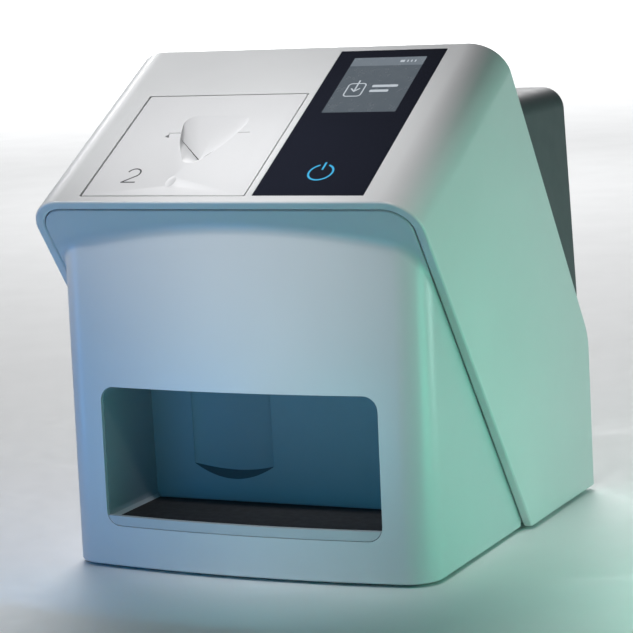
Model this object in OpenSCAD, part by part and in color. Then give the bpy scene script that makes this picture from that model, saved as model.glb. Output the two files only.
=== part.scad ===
// Desktop image-plate scanner: a sloped hood sleeve over a front housing with an
// output chamber, a removable plate insert, a touch screen and the scanning works.
// Millimetres. +X is the viewer's right, +Y runs to the rear, +Z is up.
// The origin is the centre of the footprint, on the surface that it stands on.

/* [Overall] */
// Width over the hood
body_w = 226; // [200:1:280]
// Depth from the hood's front edge to the rear face
body_d = 243; // [220:1:300]
// Height to the ridge of the hood
body_h = 271; // [245:1:330]
// Height of the hood's front edge
front_h = 201; // [185:1:215]
// Distance from the front edge back to the ridge
ridge_d = 127; // [110:1:140]
// Height where the hood's slanted rear edge meets the upright one
shoulder_h = 92; // [70:1:110]
// Distance from the front edge back to the foot of the slanted rim
rim_foot_d = 142; // [125:1:155]
// Height of the rubber feet
foot_h = 2; // [1.5:0.5:4]
// Radius of a rubber foot
foot_r = 10; // [7:1:14]
// Distance of a foot's centre in from the sides
foot_in = 26; // [20:1:34]

/* [Hood] */
// Wall of the hood
hood_wall = 3; // [2.5:0.5:4]
// Width of the rim around the hood's open ends
rim_w = 5.5; // [4:0.5:7]
// Depth of that rim
rim_d = 8; // [5:1:12]
// Radius of the two long top edges
hood_r = 20; // [12:1:26]
// Radius of the rear shoulder, seen from the side
shoulder_r = 30; // [10:1:40]

/* [Front housing] */
// Wall of the front housing
front_wall = 3; // [2.5:0.5:4]
// Distance of the face's corners behind the hood's front edge, at the foot
face_in = 11; // [9:0.5:16]
// How far the face leans back, in degrees
face_lean = 1.5; // [0:0.1:3]
// How far the face bows forward in its middle
face_bow = 6; // [2:0.5:8]
// Radius of the face's upright corners
face_r = 18; // [10:1:24]
// Gap between the hood's rim and the housings inside it
seam = 0.5; // [0.3:0.1:1]

/* [Output chamber] */
// Width of the window
window_w = 163; // [140:1:170]
// Height of the window's lower edge
window_z = 24; // [20:1:30]
// Height of the window
window_h = 76; // [60:1:80]
// Corner radius of the window
window_r = 8; // [4:1:12]
// Distance from the hood's front edge to the chamber's back wall
chamber_d = 66.5; // [60:0.5:72]
// Wall of the chamber
chamber_wall = 2; // [1.5:0.5:3]
// Height of the tray's front lip
lip_h = 5; // [4:0.5:8]
// Running gap around the tray
tray_gap = 0.5; // [0.3:0.1:1]
// Thickness of the tray's floor
tray_floor = 1.5; // [1:0.5:3]
// Thickness of the soft mat on the tray
mat_t = 1.2; // [0.8:0.2:2]
// Width of the outlet gutter in the chamber's back wall
gutter_w = 49; // [40:1:56]
// Sideways place of the gutter's centre
gutter_x = -32; // [-36:0.5:-28]
// Depth of the gutter
gutter_d = 4; // [2:0.5:6]
// Height of the gutter's foot above the window's lower edge
gutter_up = 23; // [18:1:30]

/* [Plate insert] */
// Width of the insert
insert_w = 96.4; // [90:0.1:104]
// Length of the insert along the slope
insert_l = 92.7; // [86:0.1:100]
// Thickness of the insert
insert_t = 6; // [5:0.5:8]
// Sideways place of the insert's centre
insert_x = -32.1; // [-36:0.1:-28]
// Distance of the insert's front edge from the hood's front edge
insert_v = 5.8; // [4:0.1:9]
// Gap around the insert
insert_gap = 0.6; // [0.3:0.1:1]
// Width of the plate slot
slot_w = 49; // [36:1:54]
// Thickness of the plate slot
slot_t = 1.6; // [1:0.1:2.5]
// Place of the slot along the insert
slot_v = 57; // [52:0.5:62]
// Sideways place of the slot from the insert's centre
slot_off = 3.6; // [0:0.1:5]
// Width of the finger funnel
funnel_w = 39; // [30:1:44]
// Length of the finger funnel
funnel_l = 44; // [36:1:46]
// Place of the funnel's rear edge along the insert
funnel_v = 73; // [68:0.5:76]

/* [Touch screen] */
// Width of the glass
glass_w = 62.4; // [55:0.1:66]
// Length of the glass
glass_l = 133.6; // [120:0.1:136]
// Thickness of the glass
glass_t = 2; // [1.5:0.5:2.5]
// Sideways place of the glass's centre
glass_x = 51.9; // [48:0.1:56]
// Gap around the glass
glass_gap = 0.2; // [0.1:0.1:0.4]
// Width of the display panel
panel_w = 48; // [40:1:52]
// Length of the display panel
panel_l = 60; // [50:1:64]
// Radius of the standby symbol
symbol_r = 7.2; // [5:0.1:9]
// Line width of the standby symbol
symbol_t = 1.1; // [0.8:0.1:1.6]
// Place of the standby symbol along the glass
symbol_v = 20; // [16:0.5:26]

/* [Rear housing] */
// Wall of the rear housing
rear_wall = 3; // [2.5:0.5:4]
// Height of its flat top
rear_top = 238; // [220:1:242]
// How far the rear face leans in at its top
rear_lean = 10.5; // [0:0.5:16]
// Height above which the rear face leans
rear_knee = 118; // [100:1:140]
// Radius of its top side edges
rear_r = 12; // [6:1:20]
// Size of the cooling fan
fan_w = 50; // [40:1:60]
// Depth of the cooling fan
fan_d = 10; // [8:1:15]

/* [Plate transport] */
// Distance between the transport's side frames
frame_span = 76; // [70:1:80]
// Thickness of the side frames
frame_t = 2; // [1.5:0.5:3]
// Radius of the transport shafts
shaft_r = 3; // [2.5:0.5:4]
// Radius of the belt pulleys
pulley_r = 8.5; // [7:0.5:10]
// Thickness of a belt
belt_t = 1.2; // [1:0.1:1.6]
// Width of a belt
belt_w = 8; // [6:1:10]
// Distance of each belt from the middle of the plate
belt_x = 16; // [14:1:18]
// Height of the drive shaft
drive_z = 129; // [128:1:134]
// Distance between the drive shaft and the idler shaft
shaft_span = 62; // [55:1:64]
// Teeth on the drive gear
gear_teeth = 32; // [28:1:34]
// Teeth on the motor pinion
pinion_teeth = 14; // [13:1:16]
// Gear module
gear_m = 1; // [0.9:0.05:1.05]
// Height of the reading slit
scan_z = 161; // [158:1:165]

/* [Hidden] */
$fn = 64;

// Larger than any cut needs to be
big = 600;
// Clearance between fixed pieces that lie against each other
fit = 0.3;
// Radial clearance of a shaft in its bush
run = 0.05;
// Steps around the hood's rear shoulder
shoulder_steps = 10;

y_front = -body_d / 2;
y_rear = body_d / 2;
y_ridge = y_front + ridge_d;
slope_a = atan2(body_h - front_h, ridge_d);
rim_a = atan2(-front_h, rim_foot_d);

// Half width inside the hood's rims, and of the two housings that fill its ends
rim_half = body_w / 2 - rim_w;
face_w = 2 * (rim_half - seam);
face_y = y_front + face_in;
bow_half = face_w / 2 - face_r;
bow_r = (bow_half * bow_half + face_bow * face_bow) / (2 * face_bow);

window_top = window_z + window_h;
chamber_y = y_front + chamber_d;

// The plate runs straight down from the slot in the insert
path_x = insert_x + slot_off;
path_y = y_front + (insert_v + slot_v) * cos(slope_a);
// Front and rear limits of the gap that the plate runs through
path_front = path_y - 0.2;
path_rear = path_y + 0.8;

// Base and frame
floor_z = foot_h;
base_t = 3;
base_top = floor_z + base_t;
sheet_t = 2;
shelf_z = window_top + 2 * chamber_wall + 3;
shelf_top = shelf_z + sheet_t;
bulkhead_y = chamber_y + chamber_wall + gutter_d + 1;
inner_half = face_w / 2 - front_wall;
// Half width of the sheet-metal works inside
sheet_half = inner_half - 8;
leg_w = 14;

// Corner radius of the funnel's mouth, how far its floor lies forward of the slot, and
// what is left of the insert below that floor
funnel_r = 6.5;
funnel_fall = 5;
funnel_left = 0.8;
// Rise of the scoop at the gutter's foot
scoop_rise = 8;
// The chute between the transport and the chamber
chute_half = slot_w / 2 + 3;
chute_l = 12;
chute_wall = 1.5;

// Screws: those under the base point up, and those in the rear point forwards
screw_r = 1.5;
head_r = 3;
head_t = 1.6;
screw_l = 9;
head_sunk = 0.2;
screw_in = 14;
lug_t = 4;
// Posts under the power board
post_h = 8;

// Insert seat and display stack, measured down from the hood's top
seat_t = 3;
seat_down = insert_t + fit;
seat_edge = 1.5;
carrier_t = 3;
carrier_down = hood_wall + fit;
board_t = 1.6;
board_down = 7.8;
carrier_edge = 2;
carrier_v = 6;
carrier_l = glass_l - carrier_v - 4;
panel_v = glass_l - panel_l - 5;
chip_h = 1.6;
panel_t = 2.4;
// Depth of the standby symbol in the glass, and the light guide's margin round it
symbol_d = 0.4;
guide_edge = 1.5;

// Transport
shaft_y = path_front - pulley_r - fit - belt_t;
idler_z = drive_z + shaft_span;
bearing_r = 6;
frame_front = shaft_y - 16;
frame_back = path_y + 16;
frame_down = seat_down + seat_t + fit;
half_span = frame_span / 2;
gear_r = gear_m * gear_teeth / 2;
pinion_r = gear_m * pinion_teeth / 2;
gear_w = 6;
gear_x = path_x + half_span - 3 - gear_w;
// The two gears stand a little further apart than their pitch circles
motor_z = drive_z + gear_r + pinion_r + 0.15;
motor_r = 16.5;
motor_l = 30;
motor_shaft_r = 1.5;
flange_t = 3;
flange_h = 12;
guide_t = 2;
guide_half = 26;
guide_z0 = shelf_top + 2 + fit;
guide_z1 = idler_z + pulley_r + belt_t + 4;

// Scanning works
bench_z = scan_z - 20;
bench_t = 4;
bench_y0 = frame_back + 3;
bench_l = 86;
bench_half = 50;
mirror_y = path_y + 76;
mirror_r = 15;
mirror_h = 8;
spindle_r = 3;
beam_half = 2.5;
lens_y = path_y + 38;
tube_r = 13;
tube_l = 46;
eraser_z = drive_z + 4;
eraser_l = 8;
eraser_h = 14;
scan_motor_r = 14;
laser_r = 5;
// Height of the photomultiplier's axis, above the beam
tube_z = scan_z + beam_half + 1 + tube_r + 4;

// Rear electronics
rear_in = y_rear - rear_wall;
board_y = y_rear - 22;
board_w = 124;
board_h = 96;
board_x0 = -body_w / 2 + 16;
board_z0 = 14;
post_in = 6;
fan_x = body_w / 2 - 42;
fan_z = 62;
socket_z = 34;
net_w = 16;
net_h = 14;
dc_r = 6;
reset_r = 3;
// Sockets stop this far short of the rear face
socket_in = 0.5;
// Cooling slots: pitch, width and height at the fan and near the top
fan_slots = [6, 2.4, 36];
top_slots = [9, 4, 30];
net_x = board_x0 + 28;
dc_x = board_x0 + 58;
reset_x = board_x0 + 80;

// Draws its children on the hood's top: x across, y up the slope, z out of it
module on_slope() {
    translate([0, y_front, front_h]) rotate([slope_a, 0, 0]) children();
}

// Draws its children on the slanted rim: y down along the rim, z into the machine
module on_rim() {
    translate([0, y_front, front_h]) rotate([rim_a, 0, 0]) children();
}

// A rectangle with rounded corners, centred
module rounded(w, h, r) {
    square([w - 2 * r, h], center = true);
    square([w, h - 2 * r], center = true);
    for (x = [-1, 1], y = [-1, 1])
        translate([x * (w / 2 - r), y * (h / 2 - r)]) circle(r);
}

// Runs a side view, drawn as [y, z], across the machine
module across(w) {
    translate([-w / 2, 0, 0]) rotate([90, 0, 90]) linear_extrude(w) children();
}

// Runs a front view, drawn as [x, z], back from y0 over a length
module back_from(y0, l) {
    translate([0, y0 + l, 0]) rotate([90, 0, 0]) linear_extrude(l) children();
}

// A round bar across the machine, starting at x0
module bar_x(x0, l, r, y, z) {
    translate([x0, y, z]) rotate([0, 90, 0]) cylinder(h = l, r = r);
}

// A round bar to the rear, starting at y0
module bar_y(y0, l, r, x, z) {
    translate([x, y0, z]) rotate([-90, 0, 0]) cylinder(h = l, r = r);
}

// Side view of the hood, with its round rear shoulder
module hood_profile() {
    run_y = y_rear - y_ridge;
    run_z = body_h - shoulder_h;
    // Length from the shoulder's corner to where its round starts
    turn = atan2(run_y, run_z);
    tangent = shoulder_r * tan(turn / 2);
    round = [for (i = [0:shoulder_steps]) let (a = turn * (1 - i / shoulder_steps))
        [y_rear - shoulder_r * (1 - cos(a)), shoulder_h - tangent + shoulder_r * sin(a)]];
    foot = [y_front + rim_foot_d * (1 - floor_z / front_h), floor_z];
    polygon(concat([[y_front, front_h], [y_ridge, body_h]], round, [[y_rear, floor_z], foot]));
}

// The sleeve's outline along the slope, inset by a wall
module sleeve(inset) {
    on_slope() translate([0, -big / 2, 0]) rotate([-90, 0, 0]) linear_extrude(big)
        translate([0, big / 2 + inset]) rounded(body_w - 2 * inset, big, hood_r - inset);
}

// A cut through the hood's top, centred at x and starting v up the slope
module top_cut(x, v, w, l) {
    on_slope() translate([x - w / 2, v, -big / 4]) cube([w, l, big / 2]);
}

// The bands along the hood's open ends, where its wall is thicker
module rim_zone() {
    on_rim() translate([-big / 2, -big / 2, -1]) cube([big, big, rim_d + 1]);
    difference() {
        across(body_w + 2) hood_profile();
        translate([0, -rim_d, 0]) across(body_w + 4) hood_profile();
    }
}

module hood_shell() {
    color("whitesmoke") difference() {
        intersection() {
            across(body_w + 2) hood_profile();
            sleeve(0);
        }
        difference() {
            sleeve(hood_wall);
            rim_zone();
        }
        sleeve(rim_w);
        top_cut(insert_x, insert_v - insert_gap, insert_w + 2 * insert_gap,
            insert_l + 2 * insert_gap);
        top_cut(glass_x, insert_v - glass_gap, glass_w + 2 * glass_gap,
            glass_l + 2 * glass_gap);
    }
}

// Plan of the front housing, bowed in front, with its face's corners at y = 0
module face_plan(inset) {
    intersection() {
        translate([0, bow_r - face_bow]) circle(bow_r - inset, $fn = 256);
        translate([-bow_half, -2 * face_bow]) square([2 * bow_half, body_d]);
    }
    for (x = [-bow_half, bow_half]) translate([x, face_r]) circle(face_r - inset);
    translate([-face_w / 2 + inset, face_r]) square([face_w - 2 * inset, body_d]);
}

// The front housing's leaning outline, inset by a wall
module column(inset) {
    translate([0, face_y, floor_z]) rotate([-face_lean, 0, 0])
        translate([0, 0, -front_wall * 4]) linear_extrude(body_h) face_plan(inset);
}

// Everything above a height
module above(z) {
    translate([-big / 2, -big / 2, z]) cube(big);
}

// Outline of the window, inset by a gap
module window_outline(inset) {
    translate([0, window_z + window_h / 2])
        rounded(window_w - 2 * inset, window_h - 2 * inset, window_r - inset);
}

module front_housing() {
    color("gainsboro") difference() {
        intersection() {
            union() {
                column(0);
                on_rim() translate([-face_w / 2, 0, 0])
                    cube([face_w, face_in + face_r * 2, front_wall]);
            }
            above(floor_z);
            sleeve(rim_w + seam);
            on_rim() translate([-big / 2, -big / 2, rim_d - big]) cube(big);
        }
        column(front_wall);
        back_from(y_front - 1, face_in + face_r) window_outline(0);
        base_screw_places(front = true) cylinder(h = 12, r = screw_r + run);
    }
}

// Side view of the rear housing, inset by a wall
module rear_profile(inset) {
    top = rear_top - inset;
    polygon([
        [y_ridge, top], [y_rear - rear_lean - inset, top], [y_rear - inset, rear_knee],
        [y_rear - inset, -big / 2], [y_rear - shoulder_r, -big / 2]
    ]);
}

// The rear housing's outline, inset by a wall
module rear_block(inset) {
    half = rim_half - seam - inset;
    intersection() {
        across(body_w) rear_profile(inset);
        back_from(-body_d, 2 * body_d) translate([0, rear_top - inset - big / 2])
            rounded(2 * half, big, rear_r - inset);
    }
}

// Slanted plate of the rear housing that closes the hood behind its ridge
module ridge_plate() {
    lean = atan2(body_h - shoulder_h, y_rear - y_ridge);
    half = rim_half - seam;
    intersection() {
        translate([-half, y_ridge, body_h]) rotate([-lean, 0, 0])
            translate([0, 0, -rim_d]) cube([2 * half, 80, rear_wall]);
        sleeve(rim_w + seam);
        above(rear_top - rear_wall);
    }
}

module rear_housing() {
    color("dimgray") difference() {
        union() {
            difference() {
                intersection() {
                    rear_block(0);
                    above(floor_z);
                }
                rear_block(rear_wall);
                translate([0, -rim_d, 0]) across(body_w + 2) hood_profile();
            }
            ridge_plate();
        }
        for (i = [-3:3]) translate([fan_x + i * fan_slots[0] - fan_slots[1] / 2,
            rear_in - 1, fan_z - fan_slots[2] / 2])
            cube([fan_slots[1], rear_wall + 2, fan_slots[2]]);
        for (i = [-6:6]) translate([i * top_slots[0] - top_slots[1] / 2,
            rear_in - rear_lean - 2, rear_knee + 60])
            cube([top_slots[1], 2 * rear_lean, top_slots[2]]);
        translate([net_x - net_w / 2 - 1, rear_in - 1, socket_z - net_h / 2 - 1])
            cube([net_w + 2, rear_wall + 2, net_h + 2]);
        bar_y(rear_in - 1, rear_wall + 2, dc_r + 0.5, dc_x, socket_z);
        bar_y(rear_in - 1, rear_wall + 2, reset_r + fit, reset_x, socket_z);
        rear_screw_places() translate([0, 0, -1]) cylinder(h = 20, r = screw_r + run);
        rear_screw_places() translate([0, 0, -1])
            cylinder(h = 1 + head_t + head_sunk, r = head_r + run);
    }
}

// Places of the base screws: the front pair holds the front housing
module base_screw_places(front = false) {
    for (x = [-1, 1]) translate([x * (inner_half - screw_in), y_front + 40, floor_z])
        children();
    if (!front) for (x = [-1, 1])
        translate([x * (inner_half - screw_in), y_rear - 30, floor_z]) children();
}

module rear_screw_places() {
    for (x = [-1, 1]) translate([x * (inner_half - screw_in / 2), y_rear, base_top + 6])
        rotate([90, 0, 0]) children();
}

module base_plate() {
    wide_y0 = y_front + rim_foot_d + rim_d + 3;
    wide_y1 = y_rear - rim_d - 1;
    wide = body_w / 2 - hood_wall - fit;
    color("silver") difference() {
        union() {
            translate([0, face_y, floor_z]) linear_extrude(base_t) intersection() {
                face_plan(front_wall + fit);
                translate([-big / 2, -big / 2]) square([big, big / 2 + wide_y0 - face_y]);
            }
            translate([-wide, wide_y0, floor_z]) cube([2 * wide, wide_y1 - wide_y0, base_t]);
            translate([-inner_half + fit, wide_y0, floor_z])
                cube([2 * (inner_half - fit), rear_in - fit - wide_y0, base_t]);
            rear_screw_places() translate([-6, -6 - fit, rear_wall + fit])
                cube([12, 12 + fit, lug_t]);
            power_post_places() cylinder(h = post_h, r = 3.5);
        }
        base_screw_places() translate([0, 0, -1]) cylinder(h = 12, r = screw_r + run);
        base_screw_places() translate([0, 0, -1]) cylinder(h = 1 + head_t, r = head_r + run);
        rear_screw_places() cylinder(h = 20, r = screw_r + run);
        for (i = [-5:5]) translate([i * 8 + 40, 40, floor_z - 1]) cube([4, 30, base_t + 2]);
    }
}

module rubber_feet() {
    x = body_w / 2 - foot_in;
    color("black") for (side = [-x, x], y = [y_front + 10 + foot_in, y_rear - foot_in + 8])
        translate([side, y, 0]) cylinder(h = foot_h, r = foot_r);
}

// One screw with its head at z = 0
module screw(l) {
    cylinder(h = head_t, r = head_r);
    cylinder(h = l, r = screw_r);
}

module base_screws() {
    color("darkgray") base_screw_places() screw(base_t + 2);
}

module rear_screws() {
    color("darkgray") rear_screw_places() translate([0, 0, head_sunk]) screw(screw_l);
}

// A triangle with round corners that points down the slope from its rear edge at y = 0
module funnel_outline() {
    hull() {
        for (x = [-1, 1]) translate([x * (funnel_w / 2 - funnel_r), -funnel_r])
            circle(funnel_r, $fn = 32);
        translate([0, funnel_r - funnel_l]) circle(funnel_r, $fn = 32);
    }
}

module inlet_insert() {
    color("white") difference() {
        on_slope() translate([insert_x - insert_w / 2, insert_v, -insert_t])
            cube([insert_w, insert_l, insert_t]);
        on_slope() translate([path_x, insert_v + funnel_v, 0]) hull() {
            linear_extrude(0.5) funnel_outline();
            translate([0, slot_v - funnel_v - funnel_fall, funnel_left - insert_t])
                linear_extrude(0.2)
                square([funnel_w * 0.5, funnel_l * 0.25], center = true);
        }
        translate([path_x - slot_w / 2, path_y - slot_t / 2, front_h])
            cube([slot_w, slot_t, body_h]);
    }
}

module inlet_seat() {
    w = insert_w + 2 * insert_gap;
    l = insert_l + 2 * insert_gap;
    edge = seat_edge;
    color("dimgray") difference() {
        intersection() {
            on_slope() translate([0, insert_v - insert_gap - edge, -seat_down - seat_t])
                translate([insert_x - w / 2 - edge, 0, 0])
                cube([w + 2 * edge, l + 2 * edge, seat_down + seat_t - hood_wall - fit]);
            sleeve(rim_w + fit);
            on_rim() translate([-big / 2, -big / 2, rim_d + fit]) cube(big);
        }
        on_slope() translate([insert_x - w / 2, insert_v - insert_gap, -seat_down])
            cube([w, l, insert_t]);
        translate([path_x - slot_w / 2 - 1, path_y - 4, front_h - 10])
            cube([slot_w + 2, 8, body_h]);
    }
}

// A piece on the touch screen's own axes, from its front edge, at a depth
module on_glass(down) {
    on_slope() translate([glass_x, insert_v, -down]) children();
}

// The standby symbol: a ring open at its top, with a stroke in the opening
module symbol_ring(grow) {
    difference() {
        circle(symbol_r + grow);
        circle(symbol_r - symbol_t - grow);
        translate([-2.5 + grow, 0]) square([5 - 2 * grow, 2 * symbol_r]);
    }
    translate([-symbol_t / 2 - grow, symbol_r * 0.3 - grow])
        square([symbol_t + 2 * grow, symbol_r * 0.9 + 2 * grow]);
}

module touch_glass() {
    color("black") difference() {
        on_glass(glass_t) translate([-glass_w / 2, 0, 0]) cube([glass_w, glass_l, glass_t]);
        on_glass(symbol_d) translate([0, symbol_v, 0]) linear_extrude(1) symbol_ring(0);
    }
}

module standby_symbol() {
    color("deepskyblue") on_glass(symbol_d) translate([0, symbol_v, 0])
        linear_extrude(symbol_d) symbol_ring(0);
}

module standby_light_guide() {
    color("lightcyan") on_glass(carrier_down + carrier_t - fit)
        translate([0, symbol_v, 0]) difference() {
            cylinder(h = carrier_down + carrier_t - glass_t - 2 * fit, r = symbol_r + guide_edge);
            translate([0, 0, -1]) cylinder(h = carrier_t, r = symbol_r - symbol_t - 1);
        }
}

module display_panel() {
    color("darkslategray") on_glass(glass_t + fit + panel_t)
        translate([-panel_w / 2, panel_v, 0]) cube([panel_w, panel_l, panel_t]);
}

module display_carrier() {
    edge = carrier_edge;
    color("dimgray") difference() {
        union() {
            on_glass(carrier_down + carrier_t) translate([-glass_w / 2 - edge, carrier_v, 0])
                cube([glass_w + 2 * edge, carrier_l, carrier_t]);
            on_glass(carrier_down + carrier_t) translate([-glass_w / 2, carrier_v, 0])
                cube([glass_w, carrier_l, carrier_down + carrier_t - glass_t - fit]);
            board_post_places() translate([0, 0, -board_down + fit])
                cylinder(h = board_down - carrier_down - carrier_t, r = 2.5);
        }
        on_glass(carrier_down + carrier_t + 1)
            translate([-panel_w / 2 - fit, panel_v - fit, 0])
            cube([panel_w + 2 * fit, panel_l + 2 * fit, 2 * carrier_t + 1]);
        on_glass(carrier_down + carrier_t + 1) translate([0, symbol_v, 0])
            cylinder(h = 3 * carrier_t, r = symbol_r + guide_edge + fit);
    }
}

// Corner places of the display board's posts
module board_post_places() {
    for (x = [-1, 1], v = [12, panel_v - 8])
        on_glass(0) translate([x * (glass_w / 2 - 5), v, 0]) children();
}

module display_board() {
    color("darkgreen") {
        on_glass(board_down + board_t) translate([-glass_w / 2 + 2, 6, 0])
            cube([glass_w - 4, glass_l - 14, board_t]);
        for (v = [36, 60, 92]) on_glass(board_down + board_t + chip_h)
            translate([-8, v, 0]) cube([16, 14, chip_h]);
    }
}

module output_chamber() {
    color("lightgray") difference() {
        intersection() {
            translate([0, y_front, 0]) back_from(0, chamber_d + chamber_wall + gutter_d)
                translate([0, window_z + window_h / 2])
                rounded(window_w + 2 * chamber_wall, window_h + 2 * chamber_wall,
                    window_r + chamber_wall);
            column(front_wall + fit);
        }
        back_from(y_front - 1, chamber_d + 1) window_outline(0);
        // The gutter and the scoop at its foot
        translate([gutter_x - gutter_w / 2, chamber_y - 1, window_z + gutter_up])
            cube([gutter_w, gutter_d + 1, window_h - gutter_up - 4]);
        translate([gutter_x, chamber_y + gutter_d, window_z + gutter_up]) gutter_scoop();
        translate([path_x - chute_half - fit, path_y - chute_l / 2 - fit, window_top - 1])
            cube([2 * (chute_half + fit), chute_l + 2 * fit, chamber_wall + 4]);
    }
}

// The scoop at the gutter's foot: a ramp to the wall with a round lower outline
module gutter_scoop() {
    half = gutter_w / 2 - 1;
    reach = (half * half + scoop_rise * scoop_rise) / (2 * scoop_rise);
    intersection() {
        rotate([90, 0, 90]) translate([0, 0, -gutter_w / 2]) linear_extrude(gutter_w)
            polygon([[0, 0.5], [0, 0], [-gutter_d - 1, -scoop_rise - 2], [-gutter_d - 1, 0.5]]);
        translate([0, 1, reach - scoop_rise]) rotate([90, 0, 0])
            cylinder(h = gutter_d + 3, r = reach, $fn = 128);
    }
}

module outlet_chute() {
    h = shelf_top + 2 - window_top + 1;
    color("dimgray") difference() {
        translate([path_x - chute_half, path_y - chute_l / 2, window_top - 1])
            cube([2 * chute_half, chute_l, h]);
        translate([path_x - chute_half + chute_wall, path_y - chute_l / 2 + chute_wall,
            window_top - 2])
            cube([2 * (chute_half - chute_wall), chute_l - 2 * chute_wall, h + 4]);
    }
}

module collecting_tray() {
    back = chamber_d - face_in - 2;
    color("gainsboro") union() {
        intersection() {
            back_from(y_front - 1, face_in + face_r) window_outline(tray_gap);
            translate([-big / 2, -big / 2, 0]) cube([big, big, window_z + tray_gap + lip_h]);
            difference() {
                column(0.2);
                column(front_wall);
            }
        }
        intersection() {
            back_from(face_y - face_bow, back + face_bow) window_outline(tray_gap);
            translate([-big / 2, -big / 2, 0]) cube([big, big, window_z + tray_gap + tray_floor]);
            column(front_wall / 2);
        }
    }
}

module tray_mat() {
    z = window_z + tray_gap + tray_floor;
    color("black") intersection() {
        back_from(face_y - face_bow, chamber_d - face_in - 2.5 + face_bow)
            window_outline(tray_gap + fit);
        translate([-big / 2, -big / 2, z]) cube([big, big, mat_t]);
        column(front_wall + fit);
    }
}

module bulkhead() {
    color("silver") translate([-sheet_half, bulkhead_y, base_top])
        cube([2 * sheet_half, sheet_t, shelf_z - base_top]);
}

module shelf_plate() {
    y0 = shaft_y - 20;
    color("silver") difference() {
        translate([-sheet_half, y0, shelf_z])
            cube([2 * sheet_half, bench_y0 + bench_l + 4 - y0, sheet_t]);
        translate([path_x - chute_half - fit, path_y - chute_l / 2 - fit, shelf_z - 1])
            cube([2 * (chute_half + fit), chute_l + 2 * fit, sheet_t + 2]);
    }
}

module shelf_legs() {
    color("silver") for (x = [-sheet_half, sheet_half - leg_w])
        translate([x, bench_y0 + bench_l - 10, base_top])
        cube([leg_w, sheet_t, shelf_z - base_top]);
}

// One side frame, its left face at x
module side_frame(x) {
    z0 = shelf_top;
    intersection() {
        translate([x, frame_front, z0]) cube([frame_t, frame_back - frame_front, body_h]);
        on_slope() translate([-big / 2, -big / 2, -frame_down - big]) cube(big);
    }
}

module left_side_frame() {
    color("silver") difference() {
        side_frame(path_x - half_span - frame_t);
        for (z = [drive_z, idler_z])
            bar_x(path_x - half_span - frame_t - 1, frame_t + 2, bearing_r + run, shaft_y, z);
    }
}

module right_side_frame() {
    color("silver") difference() {
        side_frame(path_x + half_span);
        for (z = [drive_z, idler_z])
            bar_x(path_x + half_span - 1, frame_t + 2, bearing_r + run, shaft_y, z);
        bar_x(path_x + half_span - 1, frame_t + 2, 3.5, shaft_y, motor_z);
    }
}

module shaft_bearings() {
    color("goldenrod") for (x = [-half_span - frame_t, half_span], z = [drive_z, idler_z])
        difference() {
            bar_x(path_x + x, frame_t, bearing_r, shaft_y, z);
            bar_x(path_x + x - 1, frame_t + 2, shaft_r + run, shaft_y, z);
        }
}

// A shaft that reaches through both side frames
module shaft(z) {
    color("silver")
        bar_x(path_x - half_span - frame_t - 1, frame_span + 2 * frame_t + 2, shaft_r, shaft_y, z);
}

module drive_shaft() {
    shaft(drive_z);
}

module idler_shaft() {
    shaft(idler_z);
}

// The two belt pulleys on one shaft
module pulley_pair(z) {
    color("darkslategray") for (side = [-1, 1]) difference() {
        union() {
            bar_x(path_x + side * belt_x - belt_w / 2, belt_w, pulley_r, shaft_y, z);
            for (x = [-1.2, belt_w])
                bar_x(path_x + side * belt_x - belt_w / 2 + x, 1.2, pulley_r + 0.8, shaft_y, z);
        }
        bar_x(path_x + side * belt_x - belt_w, 2 * belt_w, shaft_r + run, shaft_y, z);
    }
}

module drive_pulleys() {
    pulley_pair(drive_z);
}

module idler_pulleys() {
    pulley_pair(idler_z);
}

// Side view of a belt loop of an outer radius
module belt_loop(r) {
    translate([shaft_y, drive_z]) circle(r);
    translate([shaft_y, idler_z]) circle(r);
    translate([shaft_y - r, drive_z]) square([2 * r, shaft_span]);
}

module transport_belts() {
    w = belt_w - 2 * fit;
    color("black") for (side = [-1, 1])
        translate([path_x + side * belt_x, 0, 0]) across(w) difference() {
            belt_loop(pulley_r + fit + belt_t);
            belt_loop(pulley_r + fit);
        }
}

// A spur gear with straight-sided teeth that leave room to run
module gear(n, w, bore, turn) {
    r = gear_m * n / 2;
    step = 360 / n;
    difference() {
        rotate([0, 90, 0]) rotate([0, 0, turn]) linear_extrude(w) union() {
            circle(r - 1.05 * gear_m);
            for (i = [0:n - 1]) rotate([0, 0, i * step]) polygon([
                [r - 1.4 * gear_m, -gear_m * 0.82], [r, -gear_m * 0.62],
                [r + gear_m * 0.75, -gear_m * 0.3], [r + gear_m * 0.75, gear_m * 0.3],
                [r, gear_m * 0.62], [r - 1.4 * gear_m, gear_m * 0.82]
            ]);
        }
        translate([-1, 0, 0]) rotate([0, 90, 0]) cylinder(h = w + 2, r = bore);
    }
}

module drive_gear() {
    color("ivory") translate([gear_x, shaft_y, drive_z])
        gear(gear_teeth, gear_w, shaft_r + run, 0);
}

module motor_pinion() {
    color("goldenrod") translate([gear_x, shaft_y, motor_z])
        gear(pinion_teeth, gear_w, motor_shaft_r + run, 180 / pinion_teeth);
}

module motor_shaft() {
    color("silver") bar_x(gear_x - 1, path_x + half_span + frame_t + 4 - gear_x,
        motor_shaft_r, shaft_y, motor_z);
}

module drive_motor() {
    x = path_x + half_span + frame_t;
    color("dimgray") difference() {
        union() {
            bar_x(x, motor_l, motor_r, shaft_y, motor_z);
            translate([x, shaft_y - motor_r, motor_z - flange_h / 2])
                cube([flange_t, 2 * motor_r, flange_h]);
        }
        bar_x(x - 1, 7, motor_shaft_r + run, shaft_y, motor_z);
    }
}

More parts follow.
